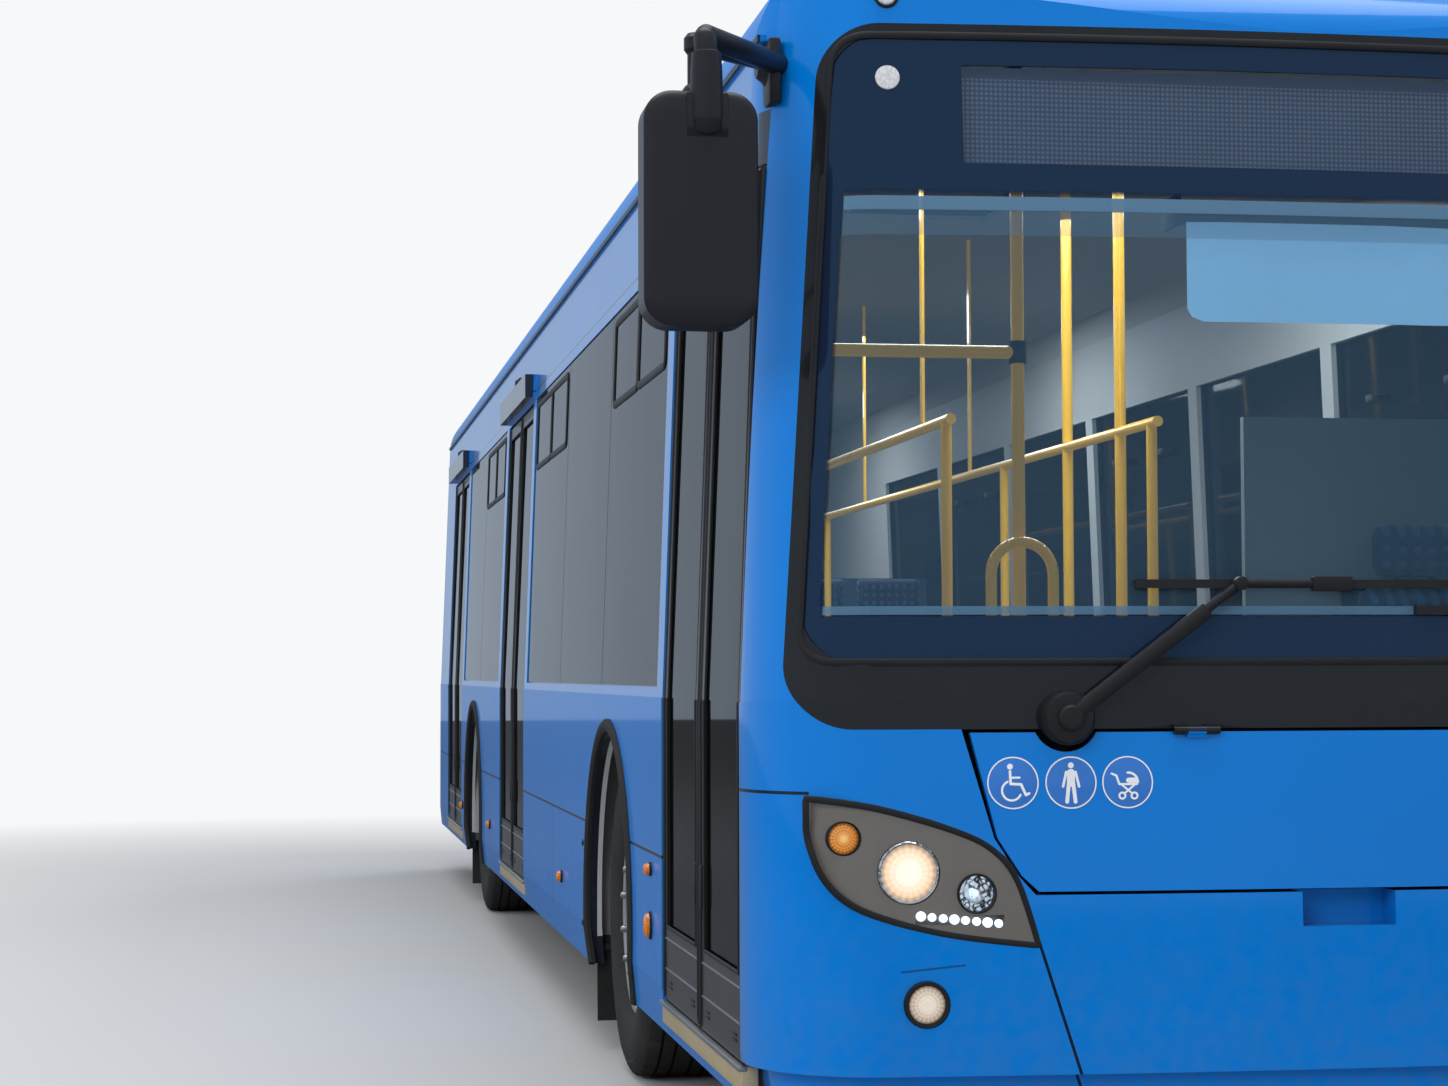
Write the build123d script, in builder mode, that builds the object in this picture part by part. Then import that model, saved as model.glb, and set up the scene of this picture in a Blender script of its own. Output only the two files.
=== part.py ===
from build123d import *
import math
import os

# City bus, low floor, three double doors on the kerb side, twin rear wheels.
# The bus faces +X, +Y is its left side and +Z is up. The origin is on the ground under
# the middle of the bus. All sizes are millimetres.

# Overall size
overall_length = 12000
half_width = 1250
front_overhang = 2800
wheelbase = 5960
skirt_height = 280
bumper_foot_height = 380
belt_height = 1150
cant_height = 2600
roof_height = 2880
wall = 45
nose_x = overall_length / 2
tail_x = -overall_length / 2
front_axle_x = nose_x - front_overhang
rear_axle_x = front_axle_x - wheelbase
shut_gap = 7

# Shape of the skin. The front is bowed across the bus. It leans back a little up to the belt
# and more above it, and the sides and the tail lean in above the belt.
front_bow_radius = 11200
front_corner_radius = 280
rear_corner_radius = 200
lower_nose_lean = 28
upper_nose_lean = 134
upper_side_lean = 52
upper_tail_lean = 42
waist_step = 3
skirt_tuck = 14
skirt_bend_height = 400

# The roof comes over each wall in two tangent arcs, a tight one and a flat one
shoulder_angle = 70
side_shoulder_run = 505
nose_shoulder_run = 895
tail_shoulder_run = 575

# Levels on the front
screen_base_height = 1095
screen_top_height = 2615
glass_base_height = 1235
bumper_joint_height = 945
valance_setback = 45
valance_thickness = 35

# Where the panels of the body meet
mask_joint_x = nose_x - 350
rear_joint_x = tail_x + 300

# Doors on the right side: distance of each front jamb behind the nose
door_jambs = {"front": 350, "middle": 5800, "rear": 9750}
door_width = 1250
door_sill_height = 365
floor_height = 365
floor_thickness = 40
door_top_height = 2330
door_inset = 8
leaf_thickness = 40
leaf_gap = 8
leaf_lift = 8
leaf_frame = 52
leaf_glass_base = 560
leaf_glass_thickness = 6
door_hood = (45, 95)

# Each leaf turns on an upright post set in from its jamb
leaf_axis_inset = 18
leaf_reach_outer = 591
leaf_reach_inner = 597
door_axis_y = 1165
door_post_radius = 12
door_arm_height = 30

# Bonded side glass: distance of each pane's front edge behind the nose, and its length.
# The panes of a row lie in one rebate, and an opening in the wall lies behind each pane.
window_base_height = 1180
window_top_height = 2330
glass_thickness = 8
glass_inset = 4
glass_lap = 45
pane_gap = 8
right_windows = [(1720, 1312), (3040, 1312), (4360, 1312), (7180, 1212), (8400, 1212)]
left_windows = [(430, 1292), (1730, 1352), (3090, 1352), (4450, 1352), (5810, 1352), (7170, 1352), (8530, 1352)]

# Wheels and axles
tyre_radius = 478
tyre_width = 275
rim_radius = 286
rim_lip = 20
rim_half_width = 104
wheel_y = 1060
twin_spacing = 312
kingpin_y = 900
arch_radius = 560
front_house_half_length = 625
front_house_inner_y = 545
rear_house_half_length = 560
rear_house_inner_y = 530
house_top_height = 1050
house_skin = 15

# Faces of the wheels, as distances from the middle of the bus
front_dish_y = 1088
bolt_ring_y = 1150
bolt_ring_radii = (190, 142)
bolt_recess_y = 1100
front_hub_y = 1142
front_hub_radius = 76
rear_dish_y = 950
rear_hub_y = 1090
rear_hub_radius = 112

# Engine bay behind the saloon
bay_front_x = tail_x + 880
bay_top_height = 1250

surround_width = 26
hatch_thickness = 14
rear_window = [(980, 1600), (930, 2330), (-930, 2330), (-980, 1600)]
engine_lid_outline = [(840, 620), (840, 1400), (-840, 1400), (-840, 620)]
lid_thickness = 26
lid_gap = 7
grille_slots = 9
grille_base_height = 760
grille_pitch = 46
grille_slot = (1180, 22)
tail_lamp_outline = [(960, 640), (1130, 640), (1130, 1120), (960, 1120)]

# Lamps on the front, each with its centre in (y, z), radius and depth of recess
headlamp_table = [
    (1074, 869, 36, 34),
    (942, 798, 66, 48),
    (800, 754, 42, 40),
]
headlamp_inset = 2
led_strip = (836, 700, 186, 20)
fog_lamp = (908, 527, 49, 30)

# Finger notch in the top of the bumper
notch_width = 206
notch_depth = 62
notch_foot_height = 678

# Wipers: hub, elbow and blade, in (y, z) on the right of the screen
wiper_hub = (607, 1119)
wiper_hub_radius = 58
wiper_notch_radius = 72
wiper_elbow = (226, 1400)
wiper_blade_length = 860
blade_lift = 14

# Roof hatches
roof_hatch_x = (2300, -2900)
roof_hatch_size = (700, 520)
roof_hatch_lap = 45
roof_hatch_lift = 5
roof_hatch_thickness = 45

# Frame, axles and towing eyes
frame_top_height = 325
rail_height = 75
rail_width = 70
rail_y = 430
rail_end = 220
cross_member_x = (5200, 4050, 1800, 400, -1300, -4000, -5000)
member_width = 80
member_height = 60
axle_drop_height = 160
lug_reach = 30
lug_half_width = 36
tow_eye_radius = 20
tow_eye_size = (90, 80, 30)

# Mirrors
mirror_x = 5910
mirror_y = 1376
mirror_z = 2175
mirror_width = 240
mirror_height = 490
mirror_depth = 90
mirror_corner = 60
mirror_arm_radius = 20

# Hinges of the hatches and the engine lid, each with its pin along Y
hatch_hinge_x = nose_x - 18
hatch_hinge_y = 330
hatch_hinge_z = screen_base_height - 4
lid_hinge_x = tail_x - 4
lid_hinge_y = 520
lid_hinge_z = 1404
roof_hinge_y = 200
roof_hinge_z = roof_height + 16
pin_radius = 9

# Saloon
cab_rear_x = 4420
cab_front_x = 5280
cab_side_y = 330
dash_door_x = 5740
dash_depth = 420
dash_top_height = screen_base_height + 35
driver_x = 4850
driver_y = 760
steer_x = 5250
steer_z = 1210
steer_tilt = 32
steer_radius = 225
left_seat_x = (2400, 1620, 840, 60, -720, -1500)
right_seat_x = (2400, 1620, 840)
seat_width = 840
aisle_y = 312
pole_radius = 16
rail_top_height = 1950
rail_front_x = 3700
rail_rear_x = -4700
rail_hanger_x = (3400, 1500, -400, -2600, -4500)
ceiling_height = roof_height - 30
pole_table = [
    (3700, -312),
    (3700, 312),
    (2000, 312),
    (500, -312),
    (-1250, -312),
    (-1250, 312),
    (-3500, -312),
]

os.makedirs("parts", exist_ok=True)


def save(part, name):
    """Writes one finished piece under its node name."""
    part.label = name
    export_step(part, f"parts/{name}.step")


def block(x_span, y_span, z_span):
    """A plain box between two values on each axis, in either order."""
    spans = [sorted(span) for span in (x_span, y_span, z_span)]
    size = [span[1] - span[0] for span in spans]
    centre = [(span[1] + span[0]) / 2 for span in spans]
    with BuildPart() as box:
        with Locations(tuple(centre)):
            Box(*size)
    return box.part


def rod(start, end, radius):
    """A round bar between two points."""
    direction = Vector(*end) - Vector(*start)
    with BuildPart() as bar:
        with BuildSketch(Plane(origin=start, z_dir=direction)):
            Circle(radius)
        extrude(amount=direction.length)
    return bar.part


# The two storeys of the body, below and above the belt: levels, then the distance of the nose,
# the side and the tail from the origin at each level
lower_storey = {
    "z": (skirt_height - 80, belt_height),
    "nose": (
        nose_x + lower_nose_lean * (bumper_foot_height - skirt_height + 80) / (belt_height - bumper_foot_height),
        nose_x - lower_nose_lean,
    ),
    "side": (half_width, half_width),
    "tail": (-tail_x, -tail_x),
}
upper_storey = {
    "z": (belt_height, cant_height),
    "nose": (
        nose_x - lower_nose_lean - waist_step,
        nose_x - lower_nose_lean - waist_step - upper_nose_lean,
    ),
    "side": (half_width - waist_step, half_width - waist_step - upper_side_lean),
    "tail": (-tail_x - waist_step, -tail_x - waist_step - upper_tail_lean),
}


def wall_lean(foot, cant):
    """The angle by which an upper wall leans in, from its distances at the belt and the cant."""
    return math.atan2(foot - cant, cant_height - belt_height)


def shoulder_radii(lean, run):
    """Radii of the tight and the flat arc that bring a leaning wall over into the roof."""
    turn = math.radians(shoulder_angle)
    rise = roof_height - cant_height
    tight_up, flat_up = math.sin(turn) - math.sin(lean), 1 - math.sin(turn)
    tight_in, flat_in = math.cos(lean) - math.cos(turn), math.cos(turn)
    scale = tight_up * flat_in - flat_up * tight_in
    return (rise * flat_in - run * flat_up) / scale, (run * tight_up - rise * tight_in) / scale


def shoulder_points(distances, run, inset, angles):
    """Points (distance, z) on the shoulder over a wall, by the angle to which the skin has turned."""
    foot, cant = distances
    lean = wall_lean(foot, cant)
    turn = math.radians(shoulder_angle)
    tight, flat = shoulder_radii(lean, run)
    centre = (cant - tight * math.cos(lean), cant_height - tight * math.sin(lean))
    flat_centre = (
        centre[0] + (tight - flat) * math.cos(turn),
        centre[1] + (tight - flat) * math.sin(turn),
    )
    points = []
    for angle in angles:
        theta = lean if angle is None else math.radians(angle)
        middle, radius = (centre, tight) if theta <= turn else (flat_centre, flat)
        reach = radius - inset
        points.append((middle[0] + reach * math.cos(theta), middle[1] + reach * math.sin(theta)))
    foot_distance = points[0][0] + (points[0][1] - belt_height) * math.tan(lean)
    return [(foot_distance, belt_height)] + points


def roofed_section(plane, walls, inset, rounded):
    """A face through the upper body: two leaning walls, each with its run, and the roof between."""
    middle_angle = (shoulder_angle + 90) / 2
    angles = (None, shoulder_angle / 2, shoulder_angle, middle_angle, 90)
    with BuildSketch(plane) as cut:
        with BuildLine():
            ends = []
            for direction, (distances, run) in zip((1, -1), walls):
                route = [(direction * d, z) for d, z in shoulder_points(distances, run, inset, angles)]
                Line(route[0], route[1])
                if rounded:
                    ThreePointArc(route[1], route[2], route[3])
                    ThreePointArc(route[3], route[4], route[5])
                else:
                    Polyline(route[1], route[2], route[3], route[5])
                ends.append((route[0], route[5]))
            Line(ends[0][0], ends[1][0])
            Line(ends[0][1], ends[1][1])
        make_face()
    return cut.sketch


def storey_block(storey, inset, rounded):
    """One storey with its walls and roof, before the front is bowed and the corners are rounded."""
    reach_x, reach_y = nose_x + 200, half_width + 200
    if storey is upper_storey:
        side = (storey["side"], side_shoulder_run)
        ends = [(storey["nose"], nose_shoulder_run), (storey["tail"], tail_shoulder_run)]
        with BuildPart() as across:
            extrude(roofed_section(Plane.YZ.offset(-reach_x), (side, side), inset, rounded), amount=2 * reach_x)
        with BuildPart() as along:
            extrude(roofed_section(Plane.XZ.offset(-reach_y), ends, inset - 1, rounded), amount=2 * reach_y)
        return across.part & along.part
    half = half_width - inset
    with BuildPart() as lower:
        with BuildSketch(Plane.YZ.offset(tail_x + inset)):
            with BuildLine():
                Polyline(
                    (half, belt_height),
                    (half, skirt_bend_height),
                    (half - skirt_tuck, skirt_height if rounded else storey["z"][0]),
                    (skirt_tuck - half, skirt_height if rounded else storey["z"][0]),
                    (-half, skirt_bend_height),
                    (-half, belt_height),
                    close=True,
                )
            make_face()
        extrude(amount=nose_x + reach_x)
    return lower.part


def front_corner(storey, level):
    """Centre of the rounded front corner at one level, and the angle of the bow where they meet."""
    y = storey["side"][level] - front_corner_radius
    inner = front_bow_radius - front_corner_radius
    x = storey["nose"][level] - front_bow_radius + math.sqrt(inner**2 - y**2)
    return (x, y, storey["z"][level]), math.asin(y / inner)


def oblique_prism(outline, z_low, z_high, drift):
    """A prism through a closed (x, y) outline that drifts sideways as it rises."""
    with BuildPart() as prism:
        with BuildSketch(Plane.XY.offset(z_low)):
            with BuildLine():
                Polyline(*outline, close=True)
            make_face()
        path = Vector(drift[0], drift[1], z_high - z_low)
        extrude(amount=path.length, dir=path)
    return prism.part


def corner_cutter(low, high, radius, first, second):
    """What is cut from an upright edge to round it: a wedge about the corner's centre, less a cylinder."""
    margin = 340
    rise = high[2] - low[2]
    slope = [(high[i] - low[i]) / rise for i in (0, 1)]
    foot = (low[0] - slope[0] * margin, low[1] - slope[1] * margin, low[2] - margin)
    head = (high[0] + slope[0] * margin, high[1] + slope[1] * margin, high[2] + margin)
    reach = 560
    outline = [
        foot[:2],
        (foot[0] + reach * first[0], foot[1] + reach * first[1]),
        (foot[0] + reach * (first[0] + second[0]), foot[1] + reach * (first[1] + second[1])),
        (foot[0] + reach * second[0], foot[1] + reach * second[1]),
    ]
    wedge = oblique_prism(outline, foot[2], head[2], (head[0] - foot[0], head[1] - foot[1]))
    return wedge - rod(foot, head, radius)


def storey_skin(storey, inset):
    """One storey filled out to its skin, less an inset, with the bowed front and round corners."""
    z_low, z_high = storey["z"]
    nose_low, nose_high = storey["nose"]
    slope = (nose_high - nose_low) / (z_high - z_low)
    across = front_bow_radius * math.hypot(1, slope)
    bow = rod(
        (nose_low - across - slope * 1600, 0, z_low - 1600),
        (nose_high - across + slope * 500, 0, z_high + 500),
        front_bow_radius - inset,
    )
    with BuildPart() as solid:
        add(storey_block(storey, inset, True) & bow)
        for side in (-1, 1):
            low, angle = front_corner(storey, 0)
            high = front_corner(storey, 1)[0]
            low = (low[0], side * low[1], low[2])
            high = (high[0], side * high[1], high[2])
            toward_bow = (math.cos(angle), side * math.sin(angle))
            add(
                corner_cutter(low, high, front_corner_radius - inset, toward_bow, (0, side)),
                mode=Mode.SUBTRACT,
            )
            rear = []
            for level in (0, 1):
                x = rear_corner_radius - storey["tail"][level]
                y = storey["side"][level] - rear_corner_radius
                rear.append((x, side * y, storey["z"][level]))
            add(
                corner_cutter(*rear, rear_corner_radius - inset, (-1, 0), (0, side)),
                mode=Mode.SUBTRACT,
            )
    return solid.part


def storey_hollow(storey, inset):
    """The room inside one storey. Its faces are flat, so the walls are thickest in the corners."""
    z_low, z_high = storey["z"]
    rise = z_high - z_low
    top = z_high + (roof_height - cant_height if storey is upper_storey else 0)
    half = storey["side"][1]
    centre_y = half - front_corner_radius
    inner = front_bow_radius - front_corner_radius
    bow_x = storey["nose"][0] - front_bow_radius
    centre_x = bow_x + math.sqrt(inner**2 - centre_y**2)
    start = math.asin(centre_y / inner)
    bow = front_bow_radius - inset
    front = [(bow_x + math.sqrt(bow**2 - y**2), y) for y in (0, 560)]
    for angle in (start, (start + math.pi / 2) / 2, math.pi / 2):
        reach = front_corner_radius - inset
        front.append((centre_x + reach * math.cos(angle), centre_y + reach * math.sin(angle)))
    run = (front[-1][0] - front[-2][0], front[-1][1] - front[-2][1])
    front[-1] = (front[-2][0] + 2.2 * run[0], front[-2][1] + 2.2 * run[1])
    front.append((tail_x - 300, front[-1][1]))
    front += [(x, -y) for x, y in reversed(front[1:])]
    tail = -storey["tail"][0]
    reach = rear_corner_radius - inset
    rear = [(tail + inset, half - rear_corner_radius), (tail + rear_corner_radius + 90, half - inset + 90)]
    rear.append((nose_x + 300, half - inset + 90))
    rear += [(x, -y) for x, y in reversed(rear)]
    nose_drift = (storey["nose"][1] - storey["nose"][0]) * (top - z_low) / rise
    tail_drift = (storey["tail"][0] - storey["tail"][1]) * (top - z_low) / rise
    room = storey_block(storey, inset, False)
    room = room & oblique_prism(front, z_low, top, (nose_drift, 0))
    return room & oblique_prism(rear, z_low, top, (tail_drift, 0))


def side_line(height, inset):
    """Distance of the side skin from the middle of the bus at a height, less an inset."""
    if height <= belt_height:
        return half_width - inset
    foot, cant = upper_storey["side"]
    return foot - (foot - cant) * (height - belt_height) / (cant_height - belt_height) - inset


def side_strip(x_span, z_span, inset, thickness, side):
    """A strip of side skin: upright below the belt and leaning in above it. side is +1 left, -1 right."""
    heights = [z_span[0], belt_height, z_span[1]]
    if z_span[0] >= belt_height or z_span[1] <= belt_height:
        heights = list(z_span)
    outer = [(side_line(z, inset), z) for z in heights]
    inner = [(y - thickness, z) for y, z in reversed(outer)]
    with BuildPart() as strip:
        with BuildSketch(Plane.YZ.offset(min(x_span))):
            with BuildLine():
                Polyline(*[(side * y, z) for y, z in outer + inner], close=True)
            make_face()
        extrude(amount=abs(x_span[1] - x_span[0]))
    return strip.part


def front_prism(outline, corner=0, depth=900, rear=False):
    """A prism along X through a closed outline of (y, z) points, reaching back from an end of the bus."""
    plane = Plane(origin=(nose_x + 50 if not rear else tail_x - 50, 0, 0), x_dir=(0, 1, 0), z_dir=(1, 0, 0))
    with BuildPart() as prism:
        with BuildSketch(plane) as profile:
            with BuildLine():
                Polyline(*outline, close=True)
            make_face()
            if corner:
                fillet(profile.vertices(), corner)
        extrude(amount=depth if rear else -depth)
    return prism.part


def mirrored(points):
    """An outline given for the left half, closed with its mirror image on the right."""
    return points + [(-y, z) for y, z in reversed(points)]


def behind_nose(distance, length):
    """An interval of X, from a distance behind the nose and a length."""
    return (nose_x - distance - length, nose_x - distance)


def hinge_barrel(x, y, z, length):
    """One barrel of a hinge with its pin along Y."""
    return rod((x, y - length / 2, z), (x, y + length / 2, z), pin_radius)


def front_x(y, z):
    """Where the front skin lies at a point (y, z) below the belt."""
    nose = nose_x - lower_nose_lean * (z - bumper_foot_height) / (belt_height - bumper_foot_height)
    inner = front_bow_radius - front_corner_radius
    corner_y = half_width - front_corner_radius
    bow_x = nose - front_bow_radius
    if abs(y) <= corner_y * front_bow_radius / inner:
        return bow_x + math.sqrt(front_bow_radius**2 - y**2)
    corner_x = bow_x + math.sqrt(inner**2 - corner_y**2)
    return corner_x + math.sqrt(front_corner_radius**2 - (abs(y) - corner_y) ** 2)


# Skins and hollows from which the panels are cut
across = (-half_width - 50, half_width + 50)
lower_skin = storey_skin(lower_storey, 0)
upper_skin = storey_skin(upper_storey, 0)
lower_hollow = storey_hollow(lower_storey, wall)
outer_body = lower_skin + upper_skin
inner_body = lower_hollow + storey_hollow(upper_storey, wall)
body_shell = outer_body - inner_body
glass_skin = storey_skin(upper_storey, glass_inset)
glass_back = storey_skin(upper_storey, glass_inset + glass_thickness)
lamp_body = storey_skin(lower_storey, headlamp_inset) - lower_hollow

# Outlines on the front, in (y, z)
screen_opening = [
    (1192, screen_base_height),
    (1085, screen_top_height),
    (-1085, screen_top_height),
    (-1192, screen_base_height),
]
glass_outline = [
    (1182 - surround_width, glass_base_height),
    (1087 - surround_width, screen_top_height - surround_width),
    (-1087 + surround_width, screen_top_height - surround_width),
    (-1182 + surround_width, glass_base_height),
]
headlamp_outline = [
    (1150, 952),
    (1010, 932),
    (844, 884),
    (762, 842),
    (712, 776),
    (671, 645),
    (830, 664),
    (950, 690),
    (1060, 731),
    (1120, 790),
    (1147, 870),
]
hatch_foot_height = 750
hatch_top_gap = 18
hatch_opening = mirrored([(828, screen_base_height), (762, 868), (712, 790), (676, hatch_foot_height)])
hatch_outline = mirrored(
    [
        (828 - hatch_top_gap, screen_base_height - shut_gap),
        (762 - shut_gap, 868),
        (712 - shut_gap, 790),
        (676 - shut_gap, hatch_foot_height + shut_gap),
    ]
)

# Front end: pillars and brow, bumper, lamps, hatch and windscreen
front_zone = block((mask_joint_x, nose_x + 100), across, (bumper_joint_height, roof_height + 50))
bumper_zone = block((mask_joint_x, nose_x + 100), across, (bumper_foot_height, bumper_joint_height))
flange_zone = block((mask_joint_x, nose_x + 100), across, (bumper_foot_height, bumper_foot_height + 12))
valance_zone = block((mask_joint_x, nose_x + 100), across, (skirt_height, bumper_foot_height + 12))
screen_cut = front_prism(screen_opening, corner=130)
glass_cut = front_prism(glass_outline, corner=105)
lamp_cut = front_prism(headlamp_outline) + front_prism([(-y, z) for y, z in headlamp_outline])
hatch_cut = front_prism(hatch_opening)

with BuildPart() as front_mask:
    add(body_shell & front_zone)
    add(screen_cut, mode=Mode.SUBTRACT)
    add(hatch_cut, mode=Mode.SUBTRACT)
    add(lamp_cut, mode=Mode.SUBTRACT)
save(front_mask.part, "front_mask")

with BuildPart() as front_bumper:
    add((lower_skin & bumper_zone) - lower_hollow)
    valance_hollow = storey_hollow(lower_storey, valance_setback + valance_thickness)
    add((lower_skin & flange_zone) - valance_hollow)
    add((storey_skin(lower_storey, valance_setback) & valance_zone) - valance_hollow)
    add(hatch_cut, mode=Mode.SUBTRACT)
    add(lamp_cut, mode=Mode.SUBTRACT)
    # The finger notch has a pocket behind it, because it is deeper than the wall
    notch_y = (-notch_width / 2, notch_width / 2)
    add(
        block(
            (nose_x - notch_depth - 32, nose_x - wall - 10),
            (notch_y[0] - 10, notch_y[1] + 10),
            (notch_foot_height - 10, hatch_foot_height),
        )
    )
    add(
        block((nose_x - notch_depth - 22, nose_x + 50), notch_y, (notch_foot_height, hatch_foot_height + 10)),
        mode=Mode.SUBTRACT,
    )
    y_fog, z_fog, fog_radius, fog_depth = fog_lamp
    for side in (-1, 1):
        x_fog = front_x(y_fog, z_fog)
        fog_recess = rod((x_fog - fog_depth, side * y_fog, z_fog), (x_fog + 60, side * y_fog, z_fog), fog_radius)
        add(fog_recess, mode=Mode.SUBTRACT)
save(front_bumper.part, "front_bumper")

with BuildPart() as headlamps:
    add(lamp_body & lamp_cut)
    for side in (-1, 1):
        for y_lamp, z_lamp, lamp_radius, lamp_depth in headlamp_table:
            x_lamp = front_x(y_lamp, z_lamp)
            start = (x_lamp - min(lamp_depth, wall - 12), side * y_lamp, z_lamp)
            add(rod(start, (x_lamp + 80, side * y_lamp, z_lamp), lamp_radius), mode=Mode.SUBTRACT)
        y_led, z_led, led_length, led_width = led_strip
        x_led = front_x(y_led, z_led)
        led_y = (side * y_led - led_length / 2, side * y_led + led_length / 2)
        led_slot = block((x_led - 22, x_led + 80), led_y, (z_led - led_width / 2, z_led + led_width / 2))
        add(led_slot, mode=Mode.SUBTRACT)
save(headlamps.part, "headlamps")

with BuildPart() as front_hatch:
    add((lower_skin - storey_skin(lower_storey, hatch_thickness)) & front_prism(hatch_outline))
    for side in (-1, 1):
        x_hub = nose_x - 100
        y_hub = side * wiper_hub[0]
        add(
            rod((x_hub, y_hub, wiper_hub[1]), (x_hub + 200, y_hub, wiper_hub[1]), wiper_notch_radius),
            mode=Mode.SUBTRACT,
        )
        y_hinge = side * hatch_hinge_y
        add(hinge_barrel(hatch_hinge_x, y_hinge, hatch_hinge_z, 40))
        add(
            block(
                (nose_x - 40, hatch_hinge_x),
                (y_hinge - 20, y_hinge + 20),
                (hatch_hinge_z - 14, hatch_hinge_z - 6),
            )
        )
save(front_hatch.part, "front_hatch")

with BuildPart() as screen_surround:
    add(body_shell & front_zone & screen_cut)
    add(glass_cut, mode=Mode.SUBTRACT)
    for side in (-1, 1):
        for offset in (-35, 35):
            y_hinge = side * hatch_hinge_y + offset
            add(hinge_barrel(hatch_hinge_x, y_hinge, hatch_hinge_z, 30))
            add(
                block(
                    (nose_x - 52, hatch_hinge_x),
                    (y_hinge - 15, y_hinge + 15),
                    (screen_base_height + 1, screen_base_height + 9),
                )
            )
save(screen_surround.part, "screen_surround")

with BuildPart() as windscreen:
    add((glass_skin & glass_cut) - glass_back)
save(windscreen.part, "windscreen")

blade_front = storey_skin(upper_storey, -blade_lift)
with BuildPart() as wipers:
    for side in (-1, 1):
        y_hub, z_hub = side * wiper_hub[0], wiper_hub[1]
        # The left arm lies a little lower and its blade points to the driver's side
        z_elbow = wiper_elbow[1] if side < 0 else wiper_elbow[1] - 55
        y_elbow = -wiper_elbow[0] if side < 0 else 390
        blade_mid = -20 if side < 0 else 600
        add(rod((nose_x - 60, y_hub, z_hub), (nose_x - 16, y_hub, z_hub), wiper_hub_radius))
        add(outer_body, mode=Mode.SUBTRACT)
        add(rod((nose_x - 24, y_hub, z_hub), (nose_x - 34, y_elbow, z_elbow), 10))
        add(rod((nose_x - 34, y_elbow, z_elbow), (nose_x - 42, blade_mid, z_elbow), 9))
        blade = front_prism(
            [
                (blade_mid - wiper_blade_length / 2, z_elbow - 9),
                (blade_mid + wiper_blade_length / 2, z_elbow - 9),
                (blade_mid + wiper_blade_length / 2, z_elbow + 9),
                (blade_mid - wiper_blade_length / 2, z_elbow + 9),
            ],
            depth=400,
        )
        add((blade_front & blade) - glass_skin)
save(wipers.part, "wipers")

# Sides. Below the belt the panels carry the wheel arches and, on the left behind the rear axle,
# the louvres of the radiator. Above it each band of windows has a rebate for its panes.
middle_zone = (rear_joint_x, mask_joint_x)
louvre_x = (tail_x + 360, tail_x + 800)
louvre_base_height = 560
louvre_pitch = 56
louvre_count = 8
right_openings = []
for name in door_jambs:
    front_jamb = nose_x - door_jambs[name]
    span = (front_jamb - door_width, front_jamb)
    right_openings.append(block(span, (-1400, -1100), (door_sill_height, door_top_height)))
arch_cuts = []
for x_axle in (front_axle_x, rear_axle_x):
    arch_cuts.append(rod((x_axle, -1500, tyre_radius), (x_axle, 1500, tyre_radius), arch_radius))
    arch_cuts.append(block((x_axle - arch_radius, x_axle + arch_radius), (-1500, 1500), (0, tyre_radius)))
with BuildPart() as right_side_panels:
    add(body_shell & block(middle_zone, (-1500, 0), (0, belt_height)))
    for cut in arch_cuts + right_openings:
        add(cut, mode=Mode.SUBTRACT)
save(right_side_panels.part, "right_side_panels")

with BuildPart() as left_side_panels:
    add(body_shell & block(middle_zone, (0, 1500), (0, belt_height)))
    for cut in arch_cuts:
        add(cut, mode=Mode.SUBTRACT)
    for i in range(louvre_count):
        z_slot = louvre_base_height + i * louvre_pitch
        add(block(louvre_x, (1100, 1400), (z_slot, z_slot + 24)), mode=Mode.SUBTRACT)
save(left_side_panels.part, "left_side_panels")

glazing_z = (window_base_height, window_top_height)
for side, label, windows in ((-1, "right", right_windows), (1, "left", left_windows)):
    with BuildPart() as band:
        add(body_shell & block(middle_zone, (0, side * 1500), (belt_height, cant_height)))
        for distance, length in windows:
            span = behind_nose(distance, length)
            rebate_x = (span[0] - pane_gap, span[1] + pane_gap)
            rebate_z = (glazing_z[0] - 3, glazing_z[1] + 3)
            depth = glass_inset + glass_thickness
            add(side_strip(rebate_x, rebate_z, -20, 20 + depth, side), mode=Mode.SUBTRACT)
            opening = block(
                (span[0] + glass_lap, span[1] - glass_lap),
                (side * 1000, side * 1400),
                (glazing_z[0] + glass_lap, glazing_z[1] - glass_lap),
            )
            add(opening, mode=Mode.SUBTRACT)
        if side < 0:
            for cut in right_openings:
                add(cut, mode=Mode.SUBTRACT)
            # A hood over the middle and the rear door keeps rain off
            for name in ("middle", "rear"):
                front_jamb = nose_x - door_jambs[name]
                hood_z = (door_top_height + 18, door_top_height + 18 + door_hood[1])
                hood_x = (front_jamb - door_width - 40, front_jamb + 40)
                y_hood = side_line(hood_z[1], 0)
                add(block(hood_x, (-y_hood + 8, -y_hood - door_hood[0]), hood_z))
    save(band.part, f"{label}_window_band")

with BuildPart() as window_glass:
    for side, windows in ((-1, right_windows), (1, left_windows)):
        for distance, length in windows:
            add(side_strip(behind_nose(distance, length), glazing_z, glass_inset, glass_thickness, side))
    rear_pane = front_prism(rear_window, corner=90, rear=True)
    add((glass_skin & rear_pane) - glass_back)
save(window_glass.part, "window_glass")

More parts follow.
